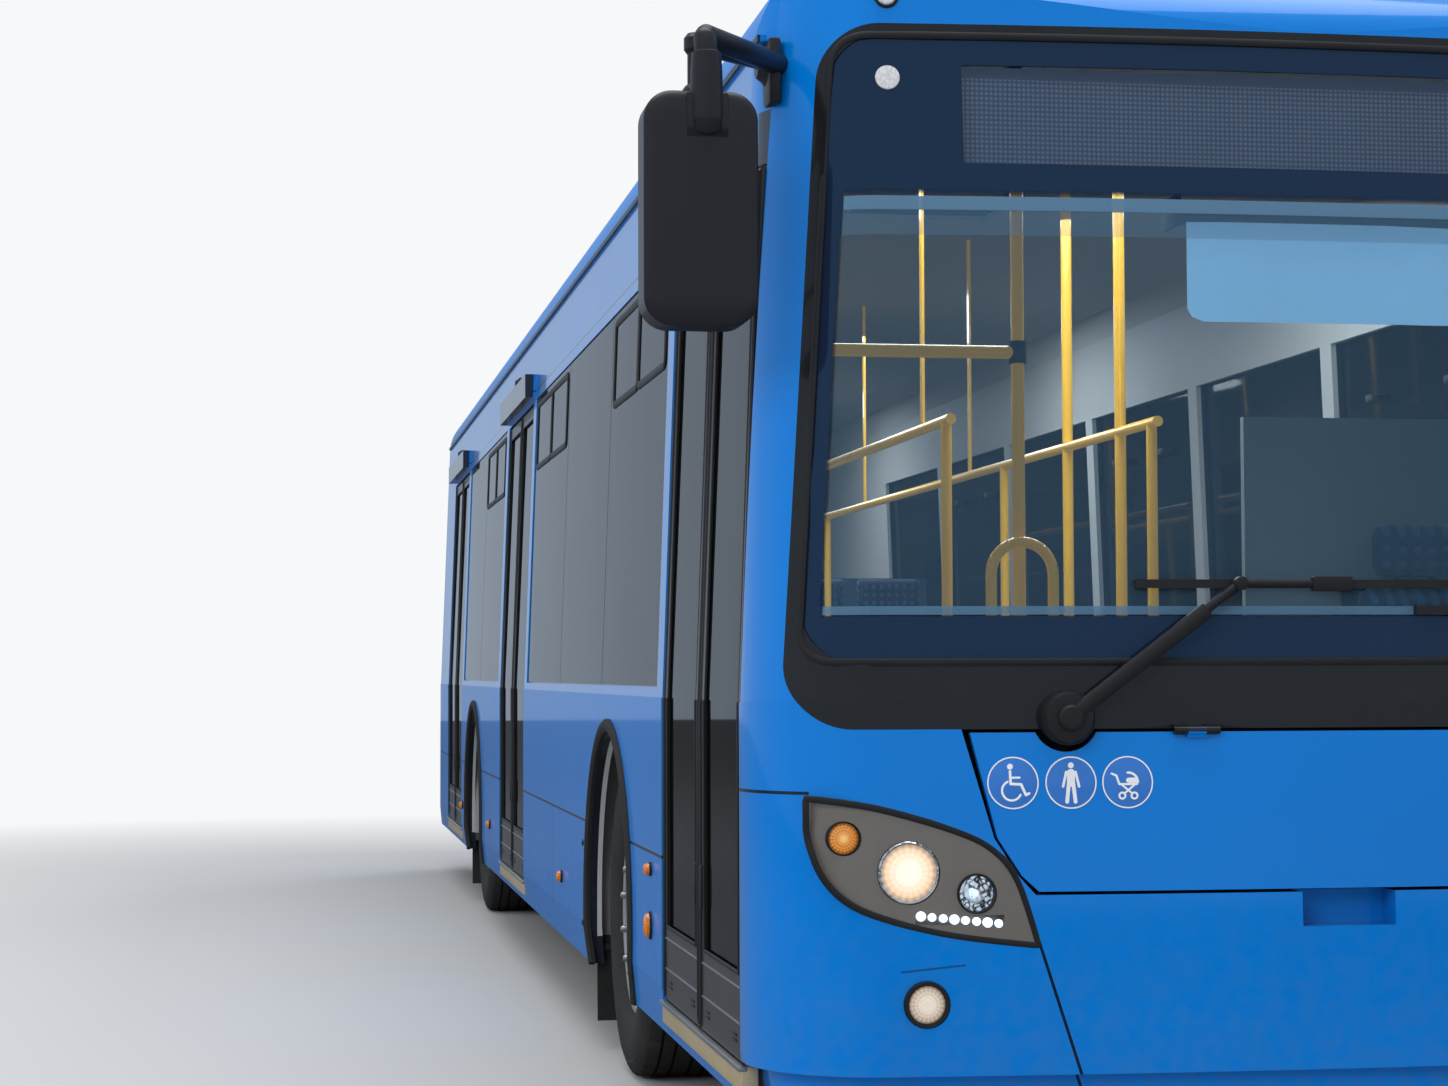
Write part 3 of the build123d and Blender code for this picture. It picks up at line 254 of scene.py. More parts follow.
def blue_lacquer(name, seams=None, coverings=None, depth=0.03, gloss=0.6):
    """Paint outside; lining or black underseal inside. A covering is a black area."""
    f = Finish(name, Coat_Roughness=0.05, IOR=1.45, Specular_Tint=(0.0, 0.35, 1.0, 1.0))
    at, x, y, z = f.place()
    cloud = f.noise(at, 1.3, 4)
    low = ((0.95 - z) / 0.7).clamp()
    dust = (low * (f.noise(at, 26, 6) - 0.34) * 0.4).clamp()
    colour = f.blend(dust, f.blend(cloud, deep_blue, light_blue), road_dust)
    peel = f.noise(at, 240, 1)
    if seams:
        lines = seams(x, y, z)
        # seams are dark joints; on the front, the line under each lamp is painted shade
        colour = f.blend(lines, colour, seam_dark_and_crease_shade)
        peel = peel - lines * 6
    if coverings:
        colour = f.blend(coverings(x, y, z), colour, covering_black)
    inner = behind_skin(x, y, z, depth)
    lining = f.blend(z > floor_top, underseal, f.blend(x > cab_front, saloon_lining, cab_lining))
    f.set("Coat Weight", (1 - inner) * gloss)
    roughness = 0.26 + (0.6 - gloss) * 0.5 + dust * 0.5 + cloud * 0.06 + inner * 0.25
    return f.finished(f.blend(inner, colour, lining), roughness, peel, 0.05, 0.0006)


# %% [markdown]
# Each seam is a mask: 1 on a thin line and 0 elsewhere. Black areas, such as the cut edges of the
# wheel arches and the rain gutter, are masks too. A mask is a short sum over the coordinates, so
# it stays sharp at any distance and needs no picture.

# %% Where the seams and the black areas are
def seam(value, at, width=0.004):
    """1 on a line where value equals at."""
    return abs(value - at) < width


skirt_seam = 0.735  # height of the long seam above the skirts
skirt_joints = (2.62, 1.45, 0.23, -1.08, -1.62, -3.42)  # places of the upright ones along the bus


def side_seams(x, y, z):
    upright = sum(seam(x, place) for place in skirt_joints) * (z < skirt_seam)
    return (seam(z, skirt_seam) * (z < 1.0) + upright).clamp()


def arch_edges(x, y, z, radius=0.572):
    """The cut edge of both wheel arches, which is black."""
    black = 0
    for axle in (front_axle, rear_axle):
        across, up = x - axle, z - axle_height
        black = black + (length(across, up) < radius) + (abs(across) < radius) * (up < 0)
    return black.clamp()


def band_seams(x, y, z):
    return seam(z, 2.372, 0.003)


def hoods_and_edges(x, y, z):
    """What stands out above a doorway, and the cut edges of the window openings."""
    skin = half_width - (z - belt) * wall_lean
    edges = (abs(y) < skin - 0.011) * (z < 2.45) * (abs(x) < 5.65)
    return ((abs(y) > skin + 0.006) + edges).clamp()


def gutter_and_hatches(x, y, z):
    """The rain gutter, and the edges of the openings below the two roof hatches."""
    gutter = (z < 2.616) * (abs(y) > 1.198)
    opening = 0.385  # half the width of a hatch's opening
    near_hatch = (abs(x - 2.3) < opening) + (abs(x + 2.9) < opening)
    return (gutter + near_hatch * (abs(y) < opening) * (z < 2.873)).clamp()


def hatch_hinges(x, y, z):
    return z > 1.0885


def front_seams_and_crease_shade(x, y, z):
    """The bumper's slanting ends, the joint at its corners, and painted shade along a faint crease under
    each lamp.
    """
    middle = abs(y)
    slope = seam(middle, 0.5925 + (z - 0.4) * 0.31, 0.0035) * (z < 0.66)
    corner = seam(z, 0.962, 0.0035) * (middle > 1.14)
    # painted shade along the top edge of a shallow recess under each lamp cluster
    crease = seam(z, 0.690 - middle * 0.1, 0.0022) * within(middle, 0.826, 0.962) * 0.6
    return (slope + corner + crease).clamp()


blue = blue_lacquer("blue_lacquer")
blue_sides = blue_lacquer("blue_lacquer_sides", side_seams, arch_edges, gloss=0.35)
blue_bands = blue_lacquer("blue_lacquer_bands", band_seams, hoods_and_edges)
blue_front = blue_lacquer("blue_lacquer_front", front_seams_and_crease_shade)
blue_hatch = blue_lacquer("blue_lacquer_hatch", coverings=hatch_hinges)
blue_bumper = blue_lacquer("blue_lacquer_bumper", front_seams_and_crease_shade, depth=0.13)
blue_roof = blue_lacquer("blue_lacquer_roof", coverings=gutter_and_hatches, gloss=0.2)
print("the roof's paint has", len(blue_roof.node_tree.nodes), "nodes")

# %% [markdown]
# ## Rubber, plastic and metal
# Most other finishes differ only in colour, roughness and grain, so one function makes them
# from a short table. Grain is a bump from noise at the size that the real surface has.

# %% A table of plain finishes
def grained(name, colour, roughness, grain, strength, metallic=0.0, spread=0.12, coat=0.0, painted_glow=0.0):
    sheen = 0.25 if max(colour) < 0.04 else 0.5  # black plastic and rubber reflect little
    f = Finish(name, Metallic=metallic, Coat_Weight=coat, Emission_Strength=painted_glow, Specular_IOR_Level=sheen)
    at, x, y, z = f.place()
    cloud = f.noise(at, 5, 5)
    dark = tuple(part * (1 - spread) for part in colour)
    pale = tuple(min(1.0, part * (1 + spread) + 0.002) for part in colour)
    tone = f.blend(cloud, dark, pale)
    # Emission here is painted light: the part shines in its own tone though it is no lamp.
    if painted_glow:
        f.set("Emission Color", tone)
    return f.finished(tone, roughness + (cloud - 0.5) * 0.12, f.noise(at, grain, 3), strength, 0.0005)


# name: colour, roughness, grain (noise scale), bump strength, metallic, spread, coat, glow (painted light)
finish_table = {
    "black_rubber": ((0.012, 0.012, 0.013), 0.5, 90, 0.15, 0.0, 0.3),
    "gloss_black": ((0.008, 0.009, 0.011), 0.18, 60, 0.03, 0.0, 0.2, 0.2),
    "soft_rubber": ((0.02, 0.02, 0.02), 0.75, 160, 0.3, 0.0, 0.3),
    "mirror_plastic": ((0.012, 0.012, 0.016), 0.40, 500, 0.25, 0.0, 0.12, 0.1),
    "dark_plastic": ((0.012, 0.012, 0.014), 0.5, 420, 0.4, 0.0, 0.15),
    "dash_plastic": ((0.09, 0.095, 0.1), 0.6, 350, 0.4, 0.0, 0.15),
    "lamp_housing": ((0.150, 0.135, 0.120), 0.32, 300, 0.1, 0.2, 0.1, 0.3),
    "grey_lining": ((0.36, 0.37, 0.37), 0.5, 300, 0.2, 0.0, 0.06),
    "door_bronze": ((0.040, 0.034, 0.031), 0.42, 200, 0.1, 0.3, 0.2, 0.2),
    # the yellow paint shines a little: painted light that brightens poles and rails in shade
    "yellow_coat": ((0.66, 0.36, 0.012), 0.3, 200, 0.05, 0.0, 0.06, 0.4, 0.30),
    "chassis_black": ((0.022, 0.022, 0.022), 0.6, 70, 0.5, 0.1, 0.4),
    "engine_iron": ((0.08, 0.08, 0.08), 0.6, 60, 0.6, 0.5, 0.4),
    "sill_beige": ((0.44, 0.36, 0.22), 0.45, 160, 0.3, 0.2, 0.12),
    # the blind shines: painted light, as it holds no lamp
    "blind_blue": ((0.34, 0.64, 0.95), 0.7, 250, 0.2, 0.0, 0.06, 0.0, 0.62),
    "hatch_plastic": ((0.5, 0.52, 0.54), 0.45, 250, 0.2, 0.0, 0.08),
    "wheel_paint": ((0.30, 0.30, 0.30), 0.42, 120, 0.2, 0.4, 0.2, 0.1),
    "nut_steel": ((0.42, 0.42, 0.42), 0.35, 200, 0.1, 0.9, 0.15),
    "white_symbol": ((0.8, 0.82, 0.84), 0.4, 300, 0.05, 0.0, 0.04, 0.3),
    "symbol_blue": ((0.02, 0.16, 0.55), 0.4, 300, 0.05, 0.0, 0.05, 0.3),
    "seat_shell_blue": ((0.04, 0.09, 0.22), 0.45, 350, 0.3, 0.0, 0.1, 0.1),
}
finish = {name: grained(name, *row) for name, row in finish_table.items()}
print(len(finish), "plain finishes")

# %% [markdown]
# ## Tyres and floor
# A tyre's side is smoother than its tread and carries fine rings. The rings follow the distance
# from the wheel's centre, which the shader works out from the coordinates. The floor is safety
# vinyl: dark, speckled and slightly rough.

# %% Tyre rubber and floor covering
def tyre_rubber(name, axle):
    f = Finish(name, Specular_IOR_Level=0.25)
    at, x, y, z = f.place()
    radius = length(x - axle, z - axle_height)
    rings = (radius * 260).sine() * within(radius, 0.30, 0.455)
    cloud = f.noise(at, 7, 5)
    tone = f.blend(cloud, (0.012, 0.012, 0.012), (0.04, 0.038, 0.036))
    return f.finished(tone, 0.62 + cloud * 0.2, f.noise(at, 120, 3) + rings * 0.25, 0.35, 0.001)


def speckled(name, base, speck, scale):
    f = Finish(name)
    at, x, y, z = f.place()
    dots = f.cells(at, scale)
    mask = (dots < 0.22) * (f.noise(at, scale / 3, 1) > 0.52)
    return f.finished(f.blend(mask, base, speck), 0.55 + f.noise(at, 12, 4) * 0.2, dots, 0.15, 0.0006)


front_tyre = tyre_rubber("front_tyre_rubber", front_axle)
rear_tyre = tyre_rubber("rear_tyre_rubber", rear_axle)
vinyl = speckled("floor_vinyl", (0.05, 0.055, 0.06), (0.2, 0.21, 0.22), 220)
print("rings of the tyre are", round(2 * math.pi / 260 * 1000), "mm apart")

# %% [markdown]
# ## Glass
# Seen from outside, a pane both reflects and lets us look in. A Mix Shader does both: a
# Transparent shader tinted by the glass, and a glossy black skin for the reflection. Fresnel
# gives more reflection at a glancing angle. A windscreen also has a black ceramic border, the
# frit, which is opaque, so its mask goes into the same factor. On the windscreen's clear glass
# the skin is pale blue instead, a painted reflection of the sky.

# %% Clear, tinted and bordered glass
def pane(name, tint, base, border=None, grime=0.04, skin=None):
    glint = (0.35, 0.65, 1.0, 1.0) if skin else (1.0, 1.0, 1.0, 1.0)
    f = Finish(name, Roughness=0.03, IOR=1.5, Specular_Tint=glint)
    at, x, y, z = f.place()
    f.set("Base Color", skin(f, y, z) if skin else (0.004, 0.005, 0.005))
    edge = f.node("ShaderNodeFresnel", {}, IOR=1.45)
    factor = base + edge * 0.85 + f.noise(at, 3, 5) * grime
    if border:
        factor = factor + border(y, z)
    clear = f.node("ShaderNodeBsdfTransparent", {}, tint)
    mixer = f.node("ShaderNodeMixShader", {}, factor.clamp(), clear, Wire(f, f.skin.outputs[0]))
    f.feed(f.out.inputs["Surface"], mixer)
    return f.material


screen_foot, screen_half, screen_taper = 1.235, 1.142, 0.071
frit_foot, frit_top, frit_side = 1.335, 2.235, 0.028  # two heights and a width
sign_half, sign_window = 0.785, (2.308, 2.525)  # the gap in the frit before the destination sign


def screen_edge(z):
    """Half the width of the windscreen at a height."""
    return screen_half - (z - screen_foot) * screen_taper


def screen_border(y, z):
    """The frit and, at its edges, strips of fine dots that let half of the light through."""
    top = ((z - frit_top) / 0.02).clamp()
    sides = ((abs(y) - screen_edge(z) + frit_side) / 0.01).clamp()
    foot = ((frit_foot - z) / 0.006).clamp()
    sign = (abs(y) < sign_half) * within(z, *sign_window)
    dots_above = within(z, 2.205, frit_top) * 0.55 + within(z, 2.150, frit_top) * 0.18
    dots_below = within(z, frit_foot, 1.353) * 0.5
    return (top + sides + foot) * (1 - sign) + dots_above + dots_below


def screen_skin(f, y, z):
    """Navy where the frit is; pale blue on the clear glass, a painted reflection of the sky."""
    clear = within(z, frit_foot, frit_top) * (abs(y) < screen_edge(z) - frit_side)
    # the pale blue stands in for sky mirrored in the glass: a painted reflection
    return f.blend(clear, (0.008, 0.017, 0.042), (0.10, 0.20, 0.31))


screen_glass = pane("windscreen_glass", (0.84, 0.90, 0.92), 0.11, screen_border, 0.05, screen_skin)
side_glass = pane("tinted_glass", (0.42, 0.46, 0.48), 0.16)
door_glass = pane("door_glass", (0.42, 0.45, 0.46), 0.16)
lens_glass = pane("lens_glass", (0.95, 0.95, 0.93), 0.03, grime=0.0)
print("the windscreen is", 2 * screen_half, "m wide at its foot")

# %% [markdown]
# ## Lamps
# A lit lamp shows a bright bulb in a chrome bowl behind a clear lens. The amber and red lamps
# are coloured plastic with small prisms, which are a bump pattern here.

# %% Chrome, light and coloured lenses
def chrome_bowl():
    f = Finish("chrome_bowl", Metallic=1.0)
    at, x, y, z = f.place()
    facets = f.cells(at, 75.0)
    tone = f.blend(facets, (0.86, 0.87, 0.88), (0.50, 0.51, 0.53))
    return f.finished(tone, 0.08 + facets * 0.15, facets, 0.8, 0.004)


def silvered():
    f = Finish("mirror_glass", Metallic=1.0)
    at, x, y, z = f.place()
    film = f.noise(at, 14, 4)
    return f.finished(f.blend(film, (0.80, 0.82, 0.83), (0.9, 0.91, 0.92)), 0.015 + film * 0.02)


def glowing(name, colour, core, strength, middle):
    """Light that is whitest at its middle, a point in (y, z)."""
    f = Finish(name, Roughness=0.3, Emission_Strength=strength)
    at, x, y, z = f.place()
    away = length(abs(y) - middle[0], z - middle[1])
    f.set("Base Color", colour)
    f.set("Emission Color", f.blend((away * 22).clamp(), core, colour))
    return f.material


def prism_lens(name, colour, dark):
    f = Finish(name, Coat_Weight=0.8, Coat_Roughness=0.05)
    at, x, y, z = f.place()
    prisms = f.cells(at, 160.0)
    return f.finished(f.blend(prisms, colour, dark), 0.2 + prisms * 0.1, prisms, 0.4, 0.001)


def dimmed(colour, share):
    return tuple(part * share for part in colour)


def fluted_lens(name, colour, core, strength, middle, radius, spot=0.30):
    """A round lens with radial flutes, lit from behind: bright in the middle, dull at the rim."""
    f = Finish(name, Roughness=0.12, IOR=1.5, Coat_Weight=0.5, Emission_Strength=strength)
    at, x, y, z = f.place()
    across, up = abs(y) - middle[0], z - middle[1]
    away = length(across, up) / radius
    angle = up.maths("ARCTAN2", up, across)
    relief = ((angle * 22).sine() + (away * 34).sine()) * 0.25 + 0.5
    warm = f.blend(((away - spot) * 2.4).clamp(), core, colour)
    shade = f.blend(((away - 0.70) * 4.0).clamp(), warm, dimmed(colour, 0.30))
    f.set("Base Color", f.blend(relief, dimmed(colour, 0.2), dimmed(core, 0.45)))
    f.set("Emission Color", f.blend(relief * 0.40, shade, dimmed(colour, 0.55)))
    f.bump(relief, 0.5, 0.0015)
    return f.material


chrome = chrome_bowl()
mirror_glass = silvered()
warm_light = glowing("warm_lamp_light", (1.0, 0.80, 0.45), (1.0, 0.97, 0.85), 2.2, (0.95, 0.80))
white_light = glowing("white_led_light", (0.72, 0.85, 1.0), (1.0, 1.0, 1.0), 0.9, (0.8, 0.7))
amber = prism_lens("amber_lens", (0.85, 0.26, 0.01), (0.45, 0.10, 0.0))
red = prism_lens("red_lens", (0.5, 0.01, 0.01), (0.2, 0.0, 0.0))
lens_white = prism_lens("white_lens", (0.75, 0.77, 0.78), (0.45, 0.46, 0.47))
amber_lit = fluted_lens("amber_lit_lens", (0.55, 0.14, 0.0), (1.0, 0.66, 0.22), 0.80, turn_lamp, 0.033, 0.02)
fluted_lit = fluted_lens("main_beam_lens", (0.98, 0.66, 0.40), (1.0, 0.95, 0.85), 0.95, main_beam, 0.062)
fluted_dim = fluted_lens("fog_lamp_lens", (0.60, 0.44, 0.32), (1.0, 0.92, 0.80), 0.62, fog_lamp, 0.042)
print(len(bpy.data.materials), "materials so far")

# %% [markdown]
# ## The destination sign
# The sign is a matt black panel with a grid of small unlit pixels. The whole board shines
# faintly: this is painted light, as no lamp is in it. The grid is worked out in the shader, so
# no picture is needed and the board stays blank.

# %% Dot matrix board
def dot_board(pitch=0.0105):
    # emission here is painted light: the board and its pixels are unlit
    f = Finish("dot_matrix_board", Emission_Strength=0.42)
    at, x, y, z = f.place()
    dot = length((y / pitch).fraction() - 0.5, (z / pitch).fraction() - 0.5) < 0.33
    inside = (abs(y) < 0.79) * within(z, 2.305, 2.505)
    mesh = f.blend(dot * inside * 0.8, (0.120, 0.145, 0.225), (0.27, 0.31, 0.43))
    f.set("Emission Color", mesh)
    return f.finished(mesh, 0.5 + dot * 0.2, dot, 0.3, 0.001)


board = dot_board()
print("board:", board.name)

# %% [markdown]
# ## Cloth for the seats
# Bus seats have a hard wearing woven cover. Two crossed sine waves make the weave, and a
# larger pattern of small lozenges breaks up the colour.

# %% Woven cover
def seat_cloth():
    f = Finish("seat_cloth", Sheen_Weight=0.4, Sheen_Roughness=0.5)
    at, x, y, z = f.place()
    weave = ((x + z) * 900).sine() * ((y - z) * 900).sine()
    lozenge = ((x + z + y) * 75).sine() * ((x + z - y) * 75).sine() > 0.45
    tone = f.blend(lozenge, (0.012, 0.03, 0.10), (0.06, 0.16, 0.38))
    worn = f.blend(f.noise(at, 40, 4) * 0.5, tone, (0.02, 0.03, 0.06))
    return f.finished(worn, 0.85 + weave * 0.05, weave, 0.35, 0.0006)


cloth = seat_cloth()
print("a thread is", round(2 * math.pi / 900 * 1000), "mm wide")

# %% [markdown]
# ## Finishes onto the CAD pieces
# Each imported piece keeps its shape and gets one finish. The many doors and wheels are found by the
# ends of their names, and the others are listed under the finish that they wear.

# %% Dress the frame
def wear(name, material):
    mesh = nodes[name].data
    mesh.materials.clear()
    mesh.materials.append(material)


by_ending = {
    "_leaf_glass": door_glass,
    "_leaf": finish["door_bronze"],
    "_wheel": finish["wheel_paint"],
    "_knuckle": finish["chassis_black"],
}
for name in nodes:
    if name.endswith("_tyre"):
        wear(name, front_tyre if name.startswith("front") else rear_tyre)
    for ending, material in by_ending.items():
        if name.endswith(ending):
            wear(name, material)
by_name = [
    (blue, ("rear_wall", "engine_lid")),
    (blue_front, ("front_mask",)),
    (blue_bumper, ("front_bumper",)),
    (blue_hatch, ("front_hatch",)),
    (blue_roof, ("roof",)),
    (blue_sides, ("right_side_panels", "left_side_panels")),
    (blue_bands, ("right_window_band", "left_window_band")),
    (screen_glass, ("windscreen",)),
    (side_glass, ("window_glass",)),
    (red, ("tail_lamps",)),
    (vinyl, ("floor",)),
    (board, ("destination_sign",)),
    (cloth, ("driver_seat",)),
    (finish["gloss_black"], ("screen_surround",)),
    (finish["lamp_housing"], ("headlamps",)),
    (finish["mirror_plastic"], ("mirrors",)),
    (finish["dark_plastic"], ("wipers", "steering_wheel")),
    (finish["dash_plastic"], ("dashboard",)),
    (finish["grey_lining"], ("wheel_houses", "engine_bay", "cab_partition")),
    (finish["engine_iron"], ("engine",)),
    (finish["chassis_black"], ("axles", "chassis_frame", "cross_members", "tow_eyes")),
    (finish["seat_shell_blue"], ("left_seats", "right_seats", "rear_bench")),
    (finish["yellow_coat"], ("handrails",)),
    (finish["hatch_plastic"], ("front_roof_hatch", "rear_roof_hatch")),
]
for material, names in by_name:
    for name in names:
        wear(name, material)
print("dressed", len(nodes), "pieces")

# %% [markdown]
# ## Meshes
# Small fittings are meshes made in code. Most of them are one of three kinds. A turned piece,
# such as a nut or a lens, is a profile spun about an axis. A bar is a block with soft edges.
# A trim, such as a rubber bead, is a low rounded section carried along a path on a surface.

# %% Turned pieces, bars and trims
def publish(name, bm, material, body="body", smooth=35):
    """Turns a bmesh into a piece that rides on a body."""
    bmesh.ops.recalc_face_normals(bm, faces=bm.faces)
    mesh = bpy.data.meshes.new(name)
    bm.to_mesh(mesh)
    bm.free()
    mesh.shade_smooth()
    mesh.set_sharp_from_angle(angle=math.radians(smooth))
    mesh.materials.append(material)
    made = bpy.data.objects.new(name, mesh)
    bpy.context.scene.collection.objects.link(made)
    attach(made, body)
    print(name, "has", len(mesh.polygons), "faces")
    return made


def join_rings(bm, rings):
    """Skins a list of rings that have the same number of points."""
    for near, far in zip(rings, rings[1:]):
        for k in range(len(near)):
            m = (k + 1) % len(near)
            bm.faces.new((near[k], near[m], far[m], far[k]))


def join_rows(bm, rows):
    """Skins a grid of points."""
    for near, far in zip(rows, rows[1:]):
        for k in range(len(near) - 1):
            bm.faces.new((near[k], far[k], far[k + 1], near[k + 1]))


def lathe(bm, profile, origin, axis, steps=40, closed=False, notch=None, stretch=1.0, side=None):
    """Spins (along, radius) pairs about an axis; a radius of 0 closes an end."""
    axis = Vector(axis).normalized()
    side = Vector(side or axis.orthogonal()).normalized()
    other = axis.cross(side)
    rings = []
    for along, radius in profile:
        centre = Vector(origin) + axis * along
        if radius == 0:
            rings.append([bm.verts.new(centre)])
            continue
        ring = []
        for i in range(steps):
            turn = 2 * math.pi * i / steps
            reach = radius * (notch(i, along) if notch else 1.0)
            away = side * (math.cos(turn) * stretch) + other * math.sin(turn)
            ring.append(bm.verts.new(centre + away * reach))
        rings.append(ring)
    if closed:
        rings.append(rings[0])
    for near, far in zip(rings, rings[1:]):
        for i in range(steps):
            j = (i + 1) % steps
            if len(near) == 1:
                bm.faces.new((near[0], far[i], far[j]))
            elif len(far) == 1:
                bm.faces.new((near[i], far[0], near[j]))
            else:
                bm.faces.new((near[i], far[i], far[j], near[j]))


def turned(name, profile, origin, axis, material, steps=40, closed=False):
    """A piece that is one turned profile."""
    bm = bmesh.new()
    lathe(bm, profile, origin, axis, steps, closed)
    return publish(name, bm, material)


def bar(bm, low, high, bevel=0.003):
    """A block between two corners with its edges rounded."""
    low, high = Vector(low), Vector(high)
    made = bmesh.ops.create_cube(bm, size=1.0)["verts"]
    bmesh.ops.scale(bm, vec=high - low, verts=made)
    bmesh.ops.translate(bm, vec=(low + high) / 2, verts=made)
    edges = list({edge for vert in made for edge in vert.link_edges})
    bmesh.ops.bevel(bm, geom=edges, offset=bevel, segments=2, affect="EDGES", profile=0.5)


def trim(bm, points, normals, width, height, closed=False):
    """A rounded section, width across and height proud, carried along points on a surface."""
    section = [(-0.5, -0.5), (-0.5, 0.4), (-0.3, 0.9), (0, 1.0), (0.3, 0.9), (0.5, 0.4), (0.5, -0.5)]
    if isinstance(normals, Vector):
        normals = [normals] * len(points)
    last = len(points) - 1
    rings = []
    for i, (point, normal) in enumerate(zip(points, normals)):
        before = points[i - 1] if i or closed else point
        after = points[i + 1] if i < last else (points[0] if closed else point)
        across = normal.cross(after - before).normalized()
        corners = [point + across * (a * width) + normal * (b * height) for a, b in section]
        rings.append([bm.verts.new(corner) for corner in corners])
    if closed:
        rings.append(rings[0])
    else:
        bm.faces.new(rings[0])
        bm.faces.new(rings[-1])
    join_rings(bm, rings)


# %% [markdown]
# A fitting has to sit exactly on the panel that carries it. A ray is shot at the CAD mesh from
# outside, and the place where it lands gives both the point and the direction of the surface.

# %% Landing on the CAD surface
trees = {}
front_nodes = ("front_mask", "front_bumper", "front_hatch", "headlamps", "screen_surround")
screen_nodes = ("screen_surround", "windscreen")
hands = ((-1, "right"), (1, "left"))
ahead, astern, upwards = Vector((1, 0, 0)), Vector((-1, 0, 0)), Vector((0, 0, 1))
far_off = 9  # metres; outside the bus, seen from its middle


def land(start, direction, names):
    """The nearest point at which a ray meets the named pieces, and the surface's direction."""
    direction = Vector(direction)
    hits = []
    for name in names:
        if name not in trees:
            mesh = nodes[name].data
            corners = [vertex.co for vertex in mesh.vertices]
            trees[name] = BVHTree.FromPolygons(corners, [face.vertices for face in mesh.polygons])
        point, normal, face, distance = trees[name].ray_cast(Vector(start), direction)
        if point is not None:
            hits.append((distance, point, normal))
    distance, point, normal = min(hits, key=lambda hit: hit[0])
    return point, -normal if normal.dot(direction) > 0 else normal


def on_front(y, z, names=front_nodes):
    return land((far_off, y, z), astern, names)


def on_rear(y, z, names=("rear_wall",)):
    return land((-far_off, y, z), ahead, names)


def side_y(z, skirt_top=0.40, skirt_in=0.014, skirt_run=0.12, belt_in=0.003):
    """Half the width of the body at a height, for its straight sides."""
    if z < skirt_top:
        return half_width - skirt_in * (skirt_top - z) / skirt_run
    if z < belt:
        return half_width
    return half_width - belt_in - wall_lean * (z - belt)


def side_point(x, z, side, proud=0.0):
    return Vector((x, side * (side_y(z) + proud), z))


print("front at the middle of the belt", on_front(0.0, 1.0)[0])

# %% [markdown]
# ## Tyres
# A bus tyre has a bulged sidewall, a square shoulder with notches and a tread with four deep
# grooves. All of that is one turned profile. The notches come from pulling in every third
# point of the shoulder. The CAD tyre is a plain ring, so this piece replaces it.

# %% Turned tyres
# distance from the tyre's middle and radius: from the bead up the sidewall, then over the tread
tyre_half = [
    (0.104, 0.288), (0.117, 0.300), (0.126, 0.318), (0.1335, 0.345), (0.137, 0.378), (0.1355, 0.412),
    (0.131, 0.430), (0.1325, 0.436), (0.126, 0.454), (0.118, 0.468), (0.108, 0.4755),
    (0.0745, 0.4775), (0.0735, 0.4645), (0.0665, 0.4645), (0.0655, 0.4778),
    (0.0325, 0.4780), (0.0315, 0.4645), (0.0245, 0.4645), (0.0235, 0.4780),
]
tyre_profile = tyre_half + [(-along, radius) for along, radius in reversed(tyre_half)]
outer_tyre, inner_tyre = 0.1375, 0.4495  # from the outer face to the middle of each twin


def shoulder_notch(i, along):
    if 0.107 < abs(along) < 0.127:
        return 0.984 if i % 3 == 0 else 1.0
    if i % 5 == 0 and abs(along) < 0.109:
        return 0.9945
    return 1.0


wheel_rows = []
for name in ("front_right", "front_left", "rear_right", "rear_left"):
    low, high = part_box(f"{name}_tyre")
    centre = (low + high) / 2
    side = -1 if centre.y < 0 else 1
    outer = side * max(abs(low.y), abs(high.y))
    twin = name.startswith("rear")
    body = f"{name}_wheels" if twin else f"{name}_wheel"
    wheel_rows.append((name, body, centre.x, centre.z, side, twin))
    bm = bmesh.new()
    for depth in (outer_tyre, inner_tyre) if twin else (outer_tyre,):
        middle = (centre.x, outer - side * depth, centre.z)
        lathe(bm, tyre_profile, middle, (0, side, 0), 180, True, shoulder_notch)
    tyre = publish(f"{name}_tyre_tread", bm, rear_tyre if twin else front_tyre, body, 28)
    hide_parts(f"{name}_tyre")
print(len(tyre_profile), "points in a tyre's profile")

# %% [markdown]
# ## Wheel nuts and hubs
# Ten nuts hold a bus wheel. Each is a hexagon on a round washer, with the stud's domed end
# standing out. The rim's edge is rolled over, which catches a bright line of light. Each is a
# turned profile, and a loop sets the nuts out round the bolt circle.

# %% Nuts, rim edge and hub cap
bolt_circle = 0.1675
washer = [(0, 0), (0, 0.0225), (0.004, 0.0215), (0.006, 0.018), (0.006, 0)]
nut = [(0.005, 0), (0.005, 0.0175), (0.022, 0.0175), (0.025, 0.0145), (0.025, 0)]
stud = [(0.024, 0.0115), (0.036, 0.0112), (0.041, 0.0085), (0.043, 0.004), (0.0435, 0)]
rim_lip = [
    (-0.030, 0.2645), (-0.008, 0.2640), (0.002, 0.268), (0.006, 0.276), (0.006, 0.288),
    (0.002, 0.297), (-0.006, 0.2985), (-0.010, 0.294), (-0.006, 0.288), (-0.020, 0.2865),
]
ring_bead = [(-0.004, 0.141), (0.001, 0.142), (0.005, 0.147), (0.004, 0.150), (-0.002, 0.151)]
hub_bolt = [(0, 0), (0, 0.0075), (0.007, 0.0075), (0.009, 0.005), (0.009, 0)]


def circle_of(count, radius, x, y, z, start=0.0):
    """Points on an upright circle in a wheel's plane."""
    turns = [2 * math.pi * (i + start) / count for i in range(count)]
    return [(x + radius * math.cos(turn), y, z + radius * math.sin(turn)) for turn in turns]


